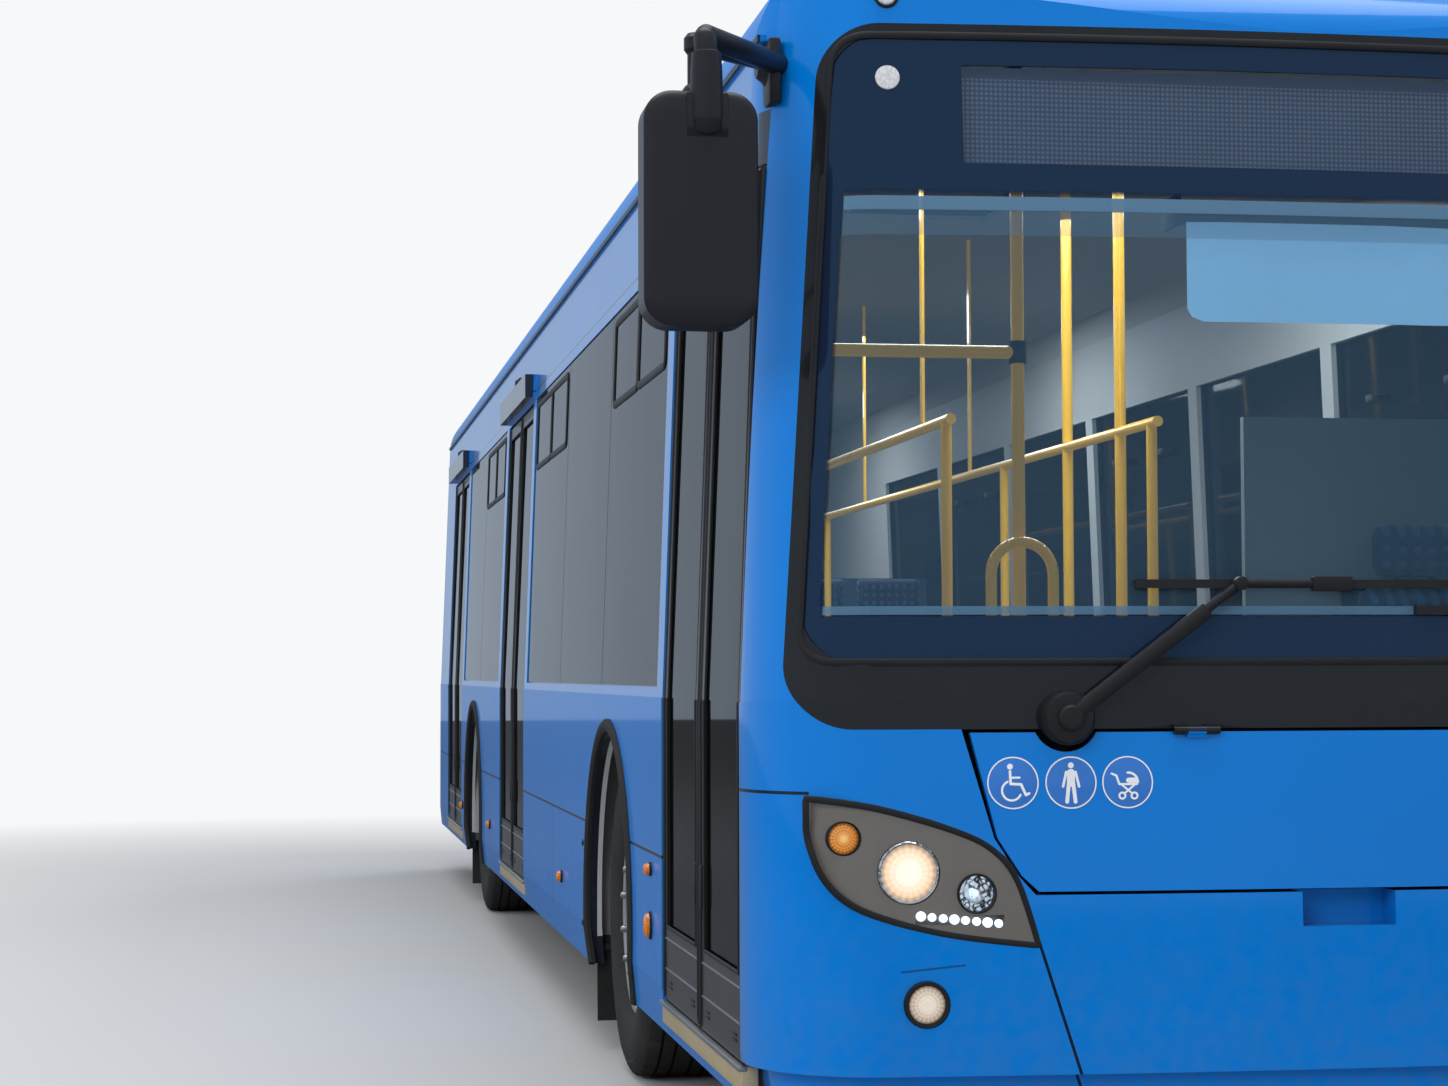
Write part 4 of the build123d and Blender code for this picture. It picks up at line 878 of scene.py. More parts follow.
for name, body, x, z, side, twin in wheel_rows:
    out = (0, side, 0)
    wheel = f"{name}_wheel"
    disc_y = land((x, side * 2, z + bolt_circle), (0, -side, 0), (wheel,))[0].y
    hub_y = land((x, side * 2, z), (0, -side, 0), (wheel,))[0].y
    steel, washers, edges, hub = (bmesh.new() for _ in range(4))
    for foot in circle_of(10, bolt_circle, x, disc_y, z, 0.5):
        lathe(washers, washer, foot, out, 20)
        lathe(steel, nut, foot, out, 6)
        lathe(steel, stud, foot, out, 14)
    publish(f"{name}_nuts", steel, finish["nut_steel"], body)
    publish(f"{name}_washers", washers, finish["wheel_paint"], body)
    lathe(edges, rim_lip, (x, side * max(abs(corner.y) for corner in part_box(wheel)), z), out, 96, True)
    lathe(edges, ring_bead, (x, disc_y, z), out, 64, True)
    publish(f"{name}_rim_edge", edges, finish["wheel_paint"], body)
    width = 0.100 if twin else 0.066
    cap = [(0, 0), (0, width), (0.004, width), (0.007, width - 0.006), (0.007, width - 0.020)]
    cap += [(0.016, width - 0.024), (0.022, width - 0.034), (0.024, 0.012), (0.024, 0)]
    lathe(hub, cap, (x, hub_y, z), out, 48)
    for foot in circle_of(8, width - 0.012, x, hub_y + side * 0.005, z):
        lathe(hub, hub_bolt, foot, out, 6)
    publish(f"{name}_hub_cap", hub, finish["wheel_paint"], body)
print("the last wheel's nuts sit", round(abs(disc_y), 3), "m from the middle of the bus")

# %% [markdown]
# ## Headlamps
# Each lamp is four turned pieces, one inside the next: a chrome bowl, a bulb, a ring and a domed
# lens. The places come from the holes in the CAD housing: the ray lands beside the hole, on both
# sides, and the mean of the two is where the lens sits.

# %% Bowls, rings and lenses
def seat_of(y, z, radius, names):
    """Where a lamp's rim sits: the mean of the surface on both sides of its hole."""
    sides = [on_front(y + step * (radius + 0.006), z, names)[0].x for step in (-1, 1)]
    return (sum(sides) / 2, y, z)


def fill_hole(name, r, seat, lens, ring, bulb=None, bulb_size=0.0, inner=0.90):
    """Turns the pieces of a lamp for a hole of radius r. The other sizes are shares of it."""
    bowl = [(-0.030, 0), (-0.0295, 0.22 * r), (-0.026, 0.5 * r), (-0.018, 0.78 * r), (-0.004, 0.95 * r)]
    rim = [(-0.016, 0.99 * r), (0.003, 0.99 * r), (0.006, 0.95 * r)]
    rim += [(0.005, inner * r), (-0.010, (inner - 0.02) * r)]
    dome = [(-0.002, inner * r), (0.001, 0.9 * inner * r), (0.0035, 0.5 * r), (0.0045, 0.2 * r), (0.0047, 0)]
    turned(f"{name}_bowl", bowl, seat, ahead, chrome)
    turned(f"{name}_ring", rim, seat, ahead, ring, 48, True)
    turned(f"{name}_lens", dome, seat, ahead, lens)
    if bulb:
        b = bulb_size * r
        light = [(-0.026, b), (-0.012, 0.95 * b), (-0.008, 0.6 * b), (-0.007, 0)]
        turned(f"{name}_light", light, seat, ahead, bulb, 28)


led_start, led_step = (0.918, 0.7085), (0.0232, 0.0023)  # from the outermost, inwards and down
dark, rubber = finish["dark_plastic"], finish["black_rubber"]
# name, place, radius, the piece with the hole, and what fills it: lens, ring, light and shares
lamp_rows = [
    ("turn_lamp", turn_lamp, 0.036, "headlamps", (amber_lit, dark)),
    ("main_beam", main_beam, 0.066, "headlamps", (fluted_lit, chrome, warm_light, 0.8)),
    ("inner_beam", (0.800, 0.754), 0.042, "headlamps", (lens_glass, dark, white_light, 0.2)),
    ("fog_lamp", fog_lamp, 0.049, "front_bumper", (fluted_dim, rubber, warm_light, 0.3, 0.80)),
]
for side, hand in hands:
    for name, (away, z), radius, holder, filling in lamp_rows:
        seat = seat_of(side * away, z, radius, (holder,))
        fill_hole(f"{hand}_{name}", radius, seat, *filling)
    leds = bmesh.new()
    for i in range(8):
        y, z = side * (led_start[0] - led_step[0] * i), led_start[1] - led_step[1] * i
        around = [on_front(y, z + step, ("headlamps",))[0].x for step in (-0.016, 0.016)]
        size = 0.0088 if i % 3 else 0.0105
        led = [(0, size), (0.006, size), (0.009, 0.6 * size), (0.0098, 0)]
        lathe(leds, led, (max(around) - 0.003, y, z), ahead, 16)
    publish(f"{hand}_led_row", leds, white_light)

# %% [markdown]
# A black rubber bead closes the joint round each cluster. It follows the housing's outline,
# which is the same list of corners as in the CAD model, softened by a closed curve. Where the
# paint beside it stands higher than the housing, the bead is lifted to stay in sight.

# %% Bead round the lamp clusters
cluster = [
    (1.150, 0.952), (1.010, 0.932), (0.844, 0.884), (0.762, 0.842), (0.712, 0.776), (0.671, 0.645),
    (0.830, 0.664), (0.950, 0.690), (1.060, 0.731), (1.120, 0.790), (1.147, 0.870),
]
sharp_tips = (0, 5)
cluster_middle = Vector((0.93, 0.80))


def along_outline(corners, pieces):
    """A smooth closed curve through the corners, apart from the two sharp tips."""
    path = []
    count = len(corners)
    still = Vector((0, 0))
    for i in range(count):
        before, start, stop, after = (Vector(corners[(i + k) % count]) for k in (-1, 0, 1, 2))
        leave = still if i in sharp_tips else (stop - before) / 2
        reach = still if (i + 1) % count in sharp_tips else (after - start) / 2
        for k in range(pieces):
            t = k / pieces
            here = start * (2 * t**3 - 3 * t**2 + 1) + leave * (t**3 - 2 * t**2 + t)
            path.append(here + stop * (3 * t**2 - 2 * t**3) + reach * (t**3 - t**2))
    return path


for side, hand in hands:
    bm = bmesh.new()
    path, normals = [], []
    for y, z in along_outline(cluster, 5):
        inward = (cluster_middle - Vector((y, z))).normalized() * 0.014
        point, normal = on_front(side * (y + inward.x), z + inward.y, ("headlamps",))
        level = point.x
        for step in (0.4, 2.2, 3.4):
            spot = on_front(side * (y + inward.x * step), z + inward.y * step)[0]
            level = max(level, spot.x - 0.001 * step)
        path.append(Vector((level + 0.0005, side * y, z)))
        normals.append(normal)
    trim(bm, path, normals, 0.014, 0.0035, True)
    publish(f"{hand}_lamp_bead", bm, finish["black_rubber"])

# %% [markdown]
# ## Signs for passengers
# Three round blue signs under the windscreen show who finds room on board: a wheelchair user, a
# standing passenger and a pram. They are common public symbols, drawn with strokes and dots in
# the plane of the sign. The white ring and the strokes lie a hair above the blue disc.

# %% Pictograms made of strokes
layer = 1e-4  # how far one stroke lies above another that it crosses
hair = 2e-6  # how far each quad of a stroke lies above the one before


def plane_axes(normal):
    right = upwards.cross(normal).normalized()
    return right, normal.cross(right)


def dot(bm, place, u, v, radius, lift, steps=24):
    origin, normal, right, up = place
    at = origin + right * u + up * v + normal * lift
    turns = [2 * math.pi * i / steps for i in range(steps)]
    rim = [at + right * (radius * math.cos(turn)) + up * (radius * math.sin(turn)) for turn in turns]
    bm.faces.new([bm.verts.new(point) for point in rim])


def stroke(bm, place, points, width, lift):
    """A quad for each run of a line, and a dot at each of its points."""
    origin, normal, right, up = place
    for i, ((ua, va), (ub, vb)) in enumerate(zip(points, points[1:])):
        along = Vector((ub - ua, vb - va)).normalized()
        across = Vector((-along.y, along.x)) * width / 2
        quad = []
        for u, v, sign in ((ua, va, 1), (ub, vb, 1), (ub, vb, -1), (ua, va, -1)):
            u, v = u + across.x * sign, v + across.y * sign
            quad.append(bm.verts.new(origin + right * u + up * v + normal * (lift + i * hair)))
        bm.faces.new(quad)
    for i, (u, v) in enumerate(points):
        dot(bm, place, u, v, width / 2, lift + 10 * hair + i * hair, 12)


def arc(cu, cv, radius, start, stop, pieces=18):
    turns = [math.radians(start + (stop - start) * i / pieces) for i in range(pieces + 1)]
    return [(cu + radius * math.cos(t), cv + radius * math.sin(t)) for t in turns]


# strokes as layer, width and points, from the middle of the sign
wheelchair = [
    (0, 0.0055, [(-0.006, 0.024), (-0.005, -0.002), (0.017, -0.003), (0.027, -0.025), (0.034, -0.022)]),
    (1, 0.0045, [(-0.005, 0.011), (0.014, 0.011)]),
    (2, 0.0045, arc(-0.003, -0.016, 0.0205, 115, 335)),
]
standing = [(0, 0.017, [(0, 0.020), (0, 0.000)])]
standing += [(1, 0.0055, [(side * 0.010, 0.022), (side * 0.017, -0.008)]) for side in (-1, 1)]
standing += [(2, 0.008, [(side * 0.0045, 0.0), (side * 0.009, -0.040)]) for side in (-1, 1)]
pram = [
    (0, 0.0045, [(-0.034, 0.018), (-0.024, 0.014), (-0.018, -0.004), (0.020, -0.004)]),
    (1, 0.005, arc(0.002, 0.000, 0.0200, 0, 95, 12)),
    (2, 0.011, [(0.002, 0.004), (0.018, 0.004)]),
    (3, 0.004, [(-0.012, -0.006), (0.010, -0.024)]),
    (4, 0.004, [(0.014, -0.006), (-0.008, -0.024)]),
]
pram += [(5, 0.004, arc(u, -0.028, 0.0065, 0, 360, 16)) for u in (-0.012, 0.014)]

# %% Three signs on the hatch
sign_radius, sign_height, marks_lift, head_radius = 0.056, 0.983, 0.0010, 0.0062
disc = [(-0.001, sign_radius), (0.0006, sign_radius), (0.0008, sign_radius - 0.0005), (0.0008, 0)]
white_ring = [(0.0009, 0.0545), (0.0011, 0.0545), (0.0011, 0.0518), (0.0009, 0.0518)]
# place across the bus, head of the person, strokes
sign_rows = [(-0.721, (-0.006, 0.034), wheelchair), (-0.598, (0, 0.036), standing), (-0.477, None, pram)]
discs, marks = bmesh.new(), bmesh.new()
for y, head, strokes in sign_rows:
    point, normal = on_front(y, sign_height, ("front_hatch",))
    place = (point, normal, *plane_axes(normal))
    lathe(discs, disc, point, normal, 64)
    lathe(marks, white_ring, point, normal, 64)
    if head:
        dot(marks, place, *head, head_radius, marks_lift)
    for level, width, points in strokes:
        stroke(marks, place, points, width, marks_lift + level * layer)
publish("sign_discs", discs, finish["symbol_blue"], "front_hatch")
publish("sign_symbols", marks, finish["white_symbol"], "front_hatch")

# %% [markdown]
# ## Doors
# A door leaf is a dark frame round a tall pane. Rubber edges seal it, a thin bright line crosses
# its lower panel, and small slots let water out. Behind the glass, a yellow rail helps people to
# board. Below each doorway a pale strip marks the step. All of it rides with its leaf, apart from
# the step, so each leaf gets pieces of its own.

# %% Rubbers and lines of a leaf
leaf_skin = -1.240  # just behind the outer face of a leaf
rubber_in = -0.008  # the rubbers lie in the leaf, which stands back from the wall
edge_levels = (0.378, 0.40, 1.148, 1.152, 2.316)
line_levels, slot_levels = (0.530, 0.452), (0.410, 0.422)


def upright(x, levels):
    """Points up a leaf, or down it, at a place along the bus."""
    return [side_point(x, z, -1, rubber_in) for z in levels]


def leaf_rubber(node, low, high):
    """Both long edges and a frame round the glass."""
    bm = bmesh.new()
    glass_low, glass_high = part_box(node + "_glass")
    out = Vector((0, -1, 0))
    for x in (low.x + 0.009, high.x - 0.009):
        trim(bm, upright(x, edge_levels), out, 0.018, 0.006)
    levels = [glass_low.z, 1.149, 1.151, glass_high.z]
    outline = upright(glass_low.x, levels) + upright(glass_high.x, reversed(levels))
    trim(bm, outline, out, 0.014, 0.0035, True)
    publish(f"{node}_rubber", bm, finish["black_rubber"], node)


def leaf_lines(node, low, high):
    bm = bmesh.new()
    for z in line_levels:
        start = (low.x + 0.03, leaf_skin - 0.0055, z - 0.0018)
        bar(bm, start, (high.x - 0.03, leaf_skin - 0.0005, z + 0.0018), 0.0008)
    publish(f"{node}_line", bm, finish["nut_steel"], node)


# %% Slots and grab rail of a leaf
def leaf_slots(node, low, high, grip_x):
    """Four slots near the foot, and a finger grip at the edge where the leaves meet."""
    bm = bmesh.new()
    for x in (low.x + 0.11, high.x - 0.11):
        for z in slot_levels:
            start = (x - 0.028, leaf_skin - 0.004, z - 0.003)
            bar(bm, start, (x + 0.028, leaf_skin, z + 0.003), 0.0015)
    bar(bm, (grip_x - 0.010, leaf_skin - 0.010, 0.66), (grip_x + 0.010, leaf_skin, 0.76), 0.004)
    publish(f"{node}_slots", bm, finish["black_rubber"], node)


def grab_rail(node, low, high):
    bm = bmesh.new()
    x, y = (low.x + high.x) / 2 - 0.22, 0.088 - side_y(1.3)
    rail = [(0.80, -0.05), (0.82, 0), (1.52, 0.016), (1.54, -0.034)]  # height, distance inwards
    trim(bm, [Vector((x, y + inwards, z)) for z, inwards in rail], Vector((0, 1, 0)), 0.022, 0.020)
    publish(f"{node}_grab_rail", bm, finish["yellow_coat"], node)


def doorstep(door, rear_x, front_x):
    """A pale strip below the doorway with a steel edge on top."""
    sill, edge = bmesh.new(), bmesh.new()
    bar(sill, (rear_x - 0.01, -side_y(0.31) - 0.008, 0.308), (front_x + 0.01, -1.21, 0.3655), 0.003)
    publish(f"{door}_door_sill", sill, finish["sill_beige"])
    bar(edge, (rear_x - 0.012, -side_y(0.36) - 0.010, 0.3560), (front_x + 0.012, -1.235, 0.3675), 0.002)
    publish(f"{door}_door_sill_edge", edge, finish["nut_steel"])


# %% Six leaves and three steps
for door in ("front", "middle", "rear"):
    ends = []
    for leaf in ("front", "rear"):
        node = f"{door}_door_{leaf}_leaf"
        low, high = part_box(node)
        ends += [low.x, high.x]
        leaf_rubber(node, low, high)
        leaf_lines(node, low, high)
        leaf_slots(node, low, high, low.x + 0.035 if leaf == "front" else high.x - 0.035)
        grab_rail(node, low, high)
    doorstep(door, min(ends), max(ends))

# %% [markdown]
# ## Wheel arches, flaps and side lamps
# A thick dark trim edges each wheel arch, and a rubber flap hangs behind the wheel. The trim runs
# along an arc. The flap is a thin slab that bows backwards a little, so that it looks soft.

# %% Arch trims and mud flaps
arch_radius, arch_foot, skirt_foot = 0.578, 0.282, 0.281
flap_rows, flap_behind, flap_top, flap_drop, flap_bow, flap_half = 8, 0.592, 0.358, 0.265, 0.010, 0.004
flap_outer, flap_inner, flap_inner_twins = 1.215, 0.93, 0.66  # from the middle of the bus
for name, body, x, z, side, twin in wheel_rows:
    arch, flap = bmesh.new(), bmesh.new()
    start = math.degrees(math.asin((arch_foot - z) / arch_radius))
    path = []
    for u, v in arc(0, 0, arch_radius, start, 180 - start, 56):
        path.append(Vector((x + u, side * side_y(max(skirt_foot, z + v)), z + v)))
    trim(arch, path, Vector((0, side, 0)), 0.040, 0.014)
    publish(f"{name}_arch_trim", arch, finish["soft_rubber"])
    flap_x = x - flap_behind
    inner, outer = side * (flap_inner_twins if twin else flap_inner), side * flap_outer
    loops = []
    for i in range(flap_rows + 1):
        level = flap_top - flap_drop * i / flap_rows
        middle = flap_x - flap_bow * math.sin(math.pi * i / flap_rows)
        back, front = middle - flap_half, middle + flap_half
        ring = [(back, inner), (front, inner), (front, outer), (back, outer)]
        loops.append([flap.verts.new((*corner, level)) for corner in ring])
    join_rings(flap, loops)
    flap.faces.new(loops[0])
    flap.faces.new(loops[-1])
    holder_foot, holder_top = (flap_x - 0.012, inner, 0.318), (flap_x + 0.012, outer - side * 0.003, 0.342)
    bar(flap, holder_foot, holder_top, 0.003)
    publish(f"{name}_mud_flap", flap, finish["soft_rubber"])

# %% [markdown]
# Amber lamps mark the side of the bus at night. They are small domes on a dark base, turned like
# the other lamps and then stretched along the bus into ovals.

# %% Amber side lamps
# distance along the bus, height, half height, stretch along the bus
marker_rows = [(4.19, 0.54, 0.034, 0.72), (4.19, 0.69, 0.017, 1.2)]
marker_rows += [(x, 0.50, 0.020, 0.8) for x in (1.80, -1.62, -3.62)]
domes, bases = bmesh.new(), bmesh.new()
for side, hand in hands:
    for x, z, size, stretch in marker_rows:
        base = [(-0.004, size * 1.12), (0.005, size * 1.1), (0.007, size)]
        dome = [(0.004, size), (0.014, size * 0.94), (0.019, size * 0.7), (0.021, size * 0.35), (0.0215, 0)]
        for bm, profile in ((bases, base), (domes, dome)):
            at = side_point(x, z, side)
            lathe(bm, profile, at, (0, side, 0), 28, stretch=stretch, side=ahead)
publish("side_lamps", domes, amber)
publish("side_lamp_bases", bases, finish["dark_plastic"])

# %% [markdown]
# ## Window trims
# A rubber bead runs round the windscreen glass, and black frames with a bar in the middle show
# which side panes can tip open at the top. Both are trims along an outline with round corners.
# The windscreen is curved, so each point of its outline is landed on the glass by a ray.

# %% Beads and vent frames
def rounded(corners, radius, pieces=8):
    """Cuts the corners of an outline with arcs."""
    path = []
    for i, corner in enumerate(Vector(corner) for corner in corners):
        beside = (Vector(corners[k % len(corners)]) for k in (i - 1, i + 1))
        first, last = (corner + (other - corner).normalized() * radius for other in beside)
        for k in range(pieces + 1):
            t = k / pieces
            path.append(first * (1 - t) ** 2 + corner * (2 * t * (1 - t)) + last * t**2)
    return path


def fine(path, longest=0.08):
    """Adds points so that no run is longer than the given length."""
    out = []
    for a, b in zip(path, path[1:] + path[:1]):
        pieces = max(1, math.ceil((b - a).length / longest))
        out += [a + (b - a) * (i / pieces) for i in range(pieces)]
    return out


screen_top = 2.589
screen_corners = [(1.156, screen_foot), (1.061, screen_top), (-1.061, screen_top), (-1.156, screen_foot)]
spots = [on_front(y, z, screen_nodes) for y, z in fine(rounded(screen_corners, 0.075))]
bead = bmesh.new()
trim(bead, [point for point, normal in spots], [normal for point, normal in spots], 0.016, 0.004, True)
publish("windscreen_bead", bead, finish["black_rubber"])

# side, front end and rear end of each long pane
pane_rows = [(-1, 4.28, 2.968), (-1, 1.64, 0.328), (-1, -1.18, -2.392)]
pane_rows += [(1, 4.27, 2.918), (1, 1.55, 0.198), (1, -1.17, -2.522)]
vent_foot, vent_top, latch_z = 2.045, 2.30, 2.06
vents = bmesh.new()
for side, x_front, x_rear in pane_rows:
    middle = (x_front + x_rear) / 2
    out = Vector((0, side, wall_lean)).normalized()
    for x_a, x_b in ((x_front - 0.07, middle + 0.008), (middle - 0.008, x_rear + 0.07)):
        corners = [(x_a, vent_foot), (x_a, vent_top), (x_b, vent_top), (x_b, vent_foot)]
        path = [side_point(x, z, side, -0.004) for x, z in fine(rounded(corners, 0.025, 4), 0.5)]
        trim(vents, path, out, 0.024, 0.005, True)
    inner, outer = side * (side_y(latch_z) - 0.06), side * (side_y(latch_z) - 0.012)
    for x in (middle + 0.3, middle - 0.3):
        bar(vents, (x - 0.03, inner, latch_z), (x + 0.03, outer, latch_z + 0.025), 0.004)
publish("vent_frames", vents, finish["black_rubber"])

# %% [markdown]
# ## Wipers and mirrors
# The wiper's arm ends in a round black hub with a cap. A flat cover runs along the arm, and a clip
# holds the blade. The CAD model has the arms and blades, so only these fittings are added, as
# turned pieces, trims and bars.

# %% Wiper hubs, arm covers and clips
# the hub and the knee as (distance to the left, height), and the blade's place
wiper_rows = [((-0.607, 1.119), (-0.226, 1.400), -0.020), ((0.607, 1.119), (0.390, 1.345), 0.600)]
hub_x, knee_x, clip_x = 5.984, 5.972, 5.966
hub_disc = [(-0.006, 0.056), (0.0, 0.056), (0.010, 0.050), (0.012, 0.034), (0.012, 0)]
hub_cap = [(0.010, 0.028), (0.020, 0.027), (0.025, 0.022), (0.027, 0)]
knee_disc = [(-0.012, 0), (-0.012, 0.015), (0.010, 0.015), (0.013, 0.010), (0.013, 0)]
fittings, caps = bmesh.new(), bmesh.new()
for hub, knee, blade_y in wiper_rows:
    hub_at, knee_at = Vector((hub_x, *hub)), Vector((knee_x, *knee))
    clip = Vector((clip_x, blade_y, knee[1]))
    lathe(fittings, hub_disc, hub_at, ahead, 44)
    lathe(caps, hub_cap, hub_at, ahead, 32)
    start = hub_at + ahead * 0.006
    trim(fittings, [start.lerp(knee_at, t) for t in (0.0, 0.3, 0.6, 0.8)], ahead, 0.034, 0.012)
    lathe(fittings, knee_disc, knee_at, ahead, 20)
    bar(fittings, clip - Vector((0.014, 0.045, 0.016)), clip + Vector((0.006, 0.045, 0.016)), 0.004)
publish("wiper_fittings", fittings, finish["dark_plastic"])
publish("wiper_caps", caps, finish["black_rubber"])

# %% [markdown]
# Each mirror head holds two panes of mirror glass, a tall one and a wide-angle one. Its arm comes
# from a bracket on the wall, goes round an elbow and ends in a sleeve at the top of the head.

# %% Mirror glass and arm sockets
head_y, back_x, arm_x = 1.376, 5.865, 5.900
half_glass, half_back = 0.098, 0.104
wide_angle, tall = (1.955, 2.085), (2.105, 2.395)  # from foot to top
collar_z, knuckle_z = 2.418, 2.530
bracket_low, bracket_at, bracket_high = (5.575, 2.455), (5.640, 2.545), (5.695, 2.600)  # x and height
collar = [(-0.030, 0.0), (-0.030, 0.036), (0.010, 0.034), (0.022, 0.026), (0.026, 0.021)]
knuckle = [(-0.024, 0), (-0.022, 0.020), (-0.012, 0.0275), (0.012, 0.0275), (0.022, 0.020), (0.024, 0)]
arm_root = [(-0.01, 0.048), (0.012, 0.046), (0.020, 0.036), (0.034, 0.026), (0.034, 0)]
wall_nodes = ("right_window_band", "left_window_band", "front_mask", "screen_surround")
glass, sockets = bmesh.new(), bmesh.new()
for side, hand in hands:
    y = side * head_y
    right, left = y - half_glass, y + half_glass
    for z_low, z_high in (wide_angle, tall):
        bar(glass, (back_x - 0.004, right, z_low), (back_x + 0.004, left, z_high), 0.0035)
    right, left = (back_x - 0.006, y - half_back), (back_x + 0.004, y + half_back)
    bar(sockets, (*right, wide_angle[1] + 0.003), (*left, tall[0] - 0.003), 0.003)
    lathe(sockets, collar, (arm_x, y, collar_z), upwards, 28)
    lathe(sockets, knuckle, (arm_x, y, knuckle_z), upwards, 24)
    foot = land((bracket_at[0], side * far_off, bracket_at[1]), (0, -side, 0), wall_nodes)[0]
    near, far = sorted((foot.y - side * 0.012, foot.y + side * 0.014))
    bar(sockets, (bracket_low[0], near, bracket_low[1]), (bracket_high[0], far, bracket_high[1]), 0.006)
    lathe(sockets, arm_root, foot, (0, side, 0), 32)
publish("mirror_glass", glass, mirror_glass)

# %% [markdown]
# The head's front is a soft dome with rounded shoulders, and the arm ends in a thick sleeve that
# is let into the top of the head. The dome is a stack of rounded rectangles, each a little
# smaller and further out than the one before.

# %% Domed mirror covers and arm sleeves
face_x, head_z = 5.955, 2.175
# distance in from the edge of the head, distance out from its face
dome_steps = [
    (0.0, 0.0), (0.002, 0.0035), (0.008, 0.008), (0.020, 0.0115),
    (0.045, 0.0138), (0.075, 0.0145), (0.100, 0.0148),
]
sleeve = [
    (-0.012, 0), (-0.010, 0.020), (0, 0.033), (0.03, 0.036),
    (0.13, 0.033), (0.165, 0.031), (0.170, 0.024), (0.170, 0),
]


def mirror_arm(bm, start, stop):
    """A round bar with soft ends."""
    run = Vector(stop) - Vector(start)
    profile = [(-0.018, 0), (-0.012, 0.018), (0, 0.0245)]
    profile += [(run.length - along, radius) for along, radius in reversed(profile)]
    lathe(bm, profile, start, run, 24)


covers, pockets = bmesh.new(), bmesh.new()
for side, hand in hands:
    y, arm_y = side * head_y, side * (head_y - 0.012)
    loops = []
    for inset, proud in dome_steps:
        corner = max(0.012, 0.060 - inset)
        to_y, to_z = 0.120 - inset - corner, 0.245 - inset - corner
        loop = []
        for cy, cz, start in ((1, 1, 0), (-1, 1, 90), (-1, -1, 180), (1, -1, 270)):
            for v, w in arc(0, 0, corner, start, start + 90, 7):
                loop.append(covers.verts.new((face_x + proud, y + cy * to_y + v, head_z + cz * to_z + w)))
        loops.append(loop)
    join_rings(covers, loops)
    covers.faces.new(loops[-1])
    lathe(covers, sleeve, (face_x, arm_y, 2.335), upwards, 32)
    bar(pockets, (5.9640, arm_y - 0.044, 2.322), (5.9712, arm_y + 0.044, 2.415), 0.0034)
    elbow = (5.948, side * (head_y - 0.010), 2.538)
    mirror_arm(covers, (face_x, arm_y, 2.48), elbow)
    mirror_arm(covers, elbow, (5.655, side * 1.149, 2.545))
publish("mirror_covers", covers, finish["mirror_plastic"], "body", 50)
publish("mirror_pockets", pockets, finish["gloss_black"])
publish("mirror_sockets", sockets, finish["mirror_plastic"])

# %% [markdown]
# ## Lamps and plates high and low
# Round marker lamps sit above the windscreen and the rear window. The rear clusters hold three
# round lenses each, and a blank plate hangs in the middle of the rear end. Lenses of one colour
# are joined into one piece, because they share a finish and never move apart.

# %% Marker lamps, rear lenses and blank plate
def round_lamp(lenses, rims, spot, radius, proud=0.012):
    """A low dome on a dark rim. A spot is a point and the direction of the surface there."""
    lathe(rims, [(-0.006, radius * 1.25), (0.004, radius * 1.22), (0.006, radius)], *spot, 28)
    dome = [(0.003, radius), (proud * 0.8, radius * 0.85), (proud, radius * 0.4), (proud * 1.05, 0)]
    lathe(lenses, dome, *spot, 28)


def plate(bm, point, half_wide, half_high, inwards, outwards, bevel):
    """An upright plate on the rear end, let into it by inwards."""
    low, high = Vector((-outwards, -half_wide, -half_high)), Vector((inwards, half_wide, half_high))
    bar(bm, point + low, point + high, bevel)


marker_z, marker_radius = 2.675, 0.022
cluster_y, cluster_radius = 1.030, 0.052
white_lenses, red_lenses, amber_lenses, rims, plates = (bmesh.new() for _ in range(5))
for side, hand in hands:
    front_marker = on_front(side * 0.945, marker_z, ("front_mask", "roof"))
    rear_marker = on_rear(side * 0.985, marker_z, ("rear_wall", "roof"))
    round_lamp(white_lenses, rims, front_marker, marker_radius)
    round_lamp(red_lenses, rims, rear_marker, marker_radius)
    for z, lenses in ((0.720, white_lenses), (0.860, red_lenses), (1.000, amber_lenses)):
        round_lamp(lenses, rims, on_rear(side * cluster_y, z, ("tail_lamps",)), cluster_radius, 0.014)
    plate(red_lenses, on_rear(side * 1.0, 0.46)[0], 0.055, 0.022, 0.004, 0.012, 0.004)
plate(plates, on_rear(0, 0.500)[0], 0.26, 0.056, 0.002, 0.010, 0.003)
publish("white_lenses", white_lenses, lens_white)
publish("red_lenses", red_lenses, red)
publish("amber_lenses", amber_lenses, amber)
publish("lamp_rims", rims, finish["dark_plastic"])
publish("blank_plate", plates, finish["white_symbol"])

# %% [markdown]
# A rubber apron hangs behind the front hatch, so that nobody looks into the saloon through its
# seams. It follows the bow of the nose and has five shallow folds. Round fasteners hold the
# skirts, and a small lamp sits above the middle doorway and above the rear one.

# %% Apron, fasteners and door lamps
def along_nose(x, y):
    """Where a point of the middle line comes to when it is moved along the nose's bow to y."""
    return x - y * y / (2 * bow_radius)


columns, rows = 44, 6
apron_half, apron_foot, apron_height = 1.06, 0.62, 0.60
apron = bmesh.new()
folds = []
for i in range(columns + 1):
    y = -apron_half + 2 * apron_half * i / columns
    x = along_nose(5.872, y) + 0.006 * math.cos(y * 15)
    levels = [apron_foot + apron_height * j / rows for j in range(rows + 1)]
    folds.append([apron.verts.new((x, y, z)) for z in levels])
join_rows(apron, folds)
publish("hatch_apron", apron, finish["soft_rubber"])

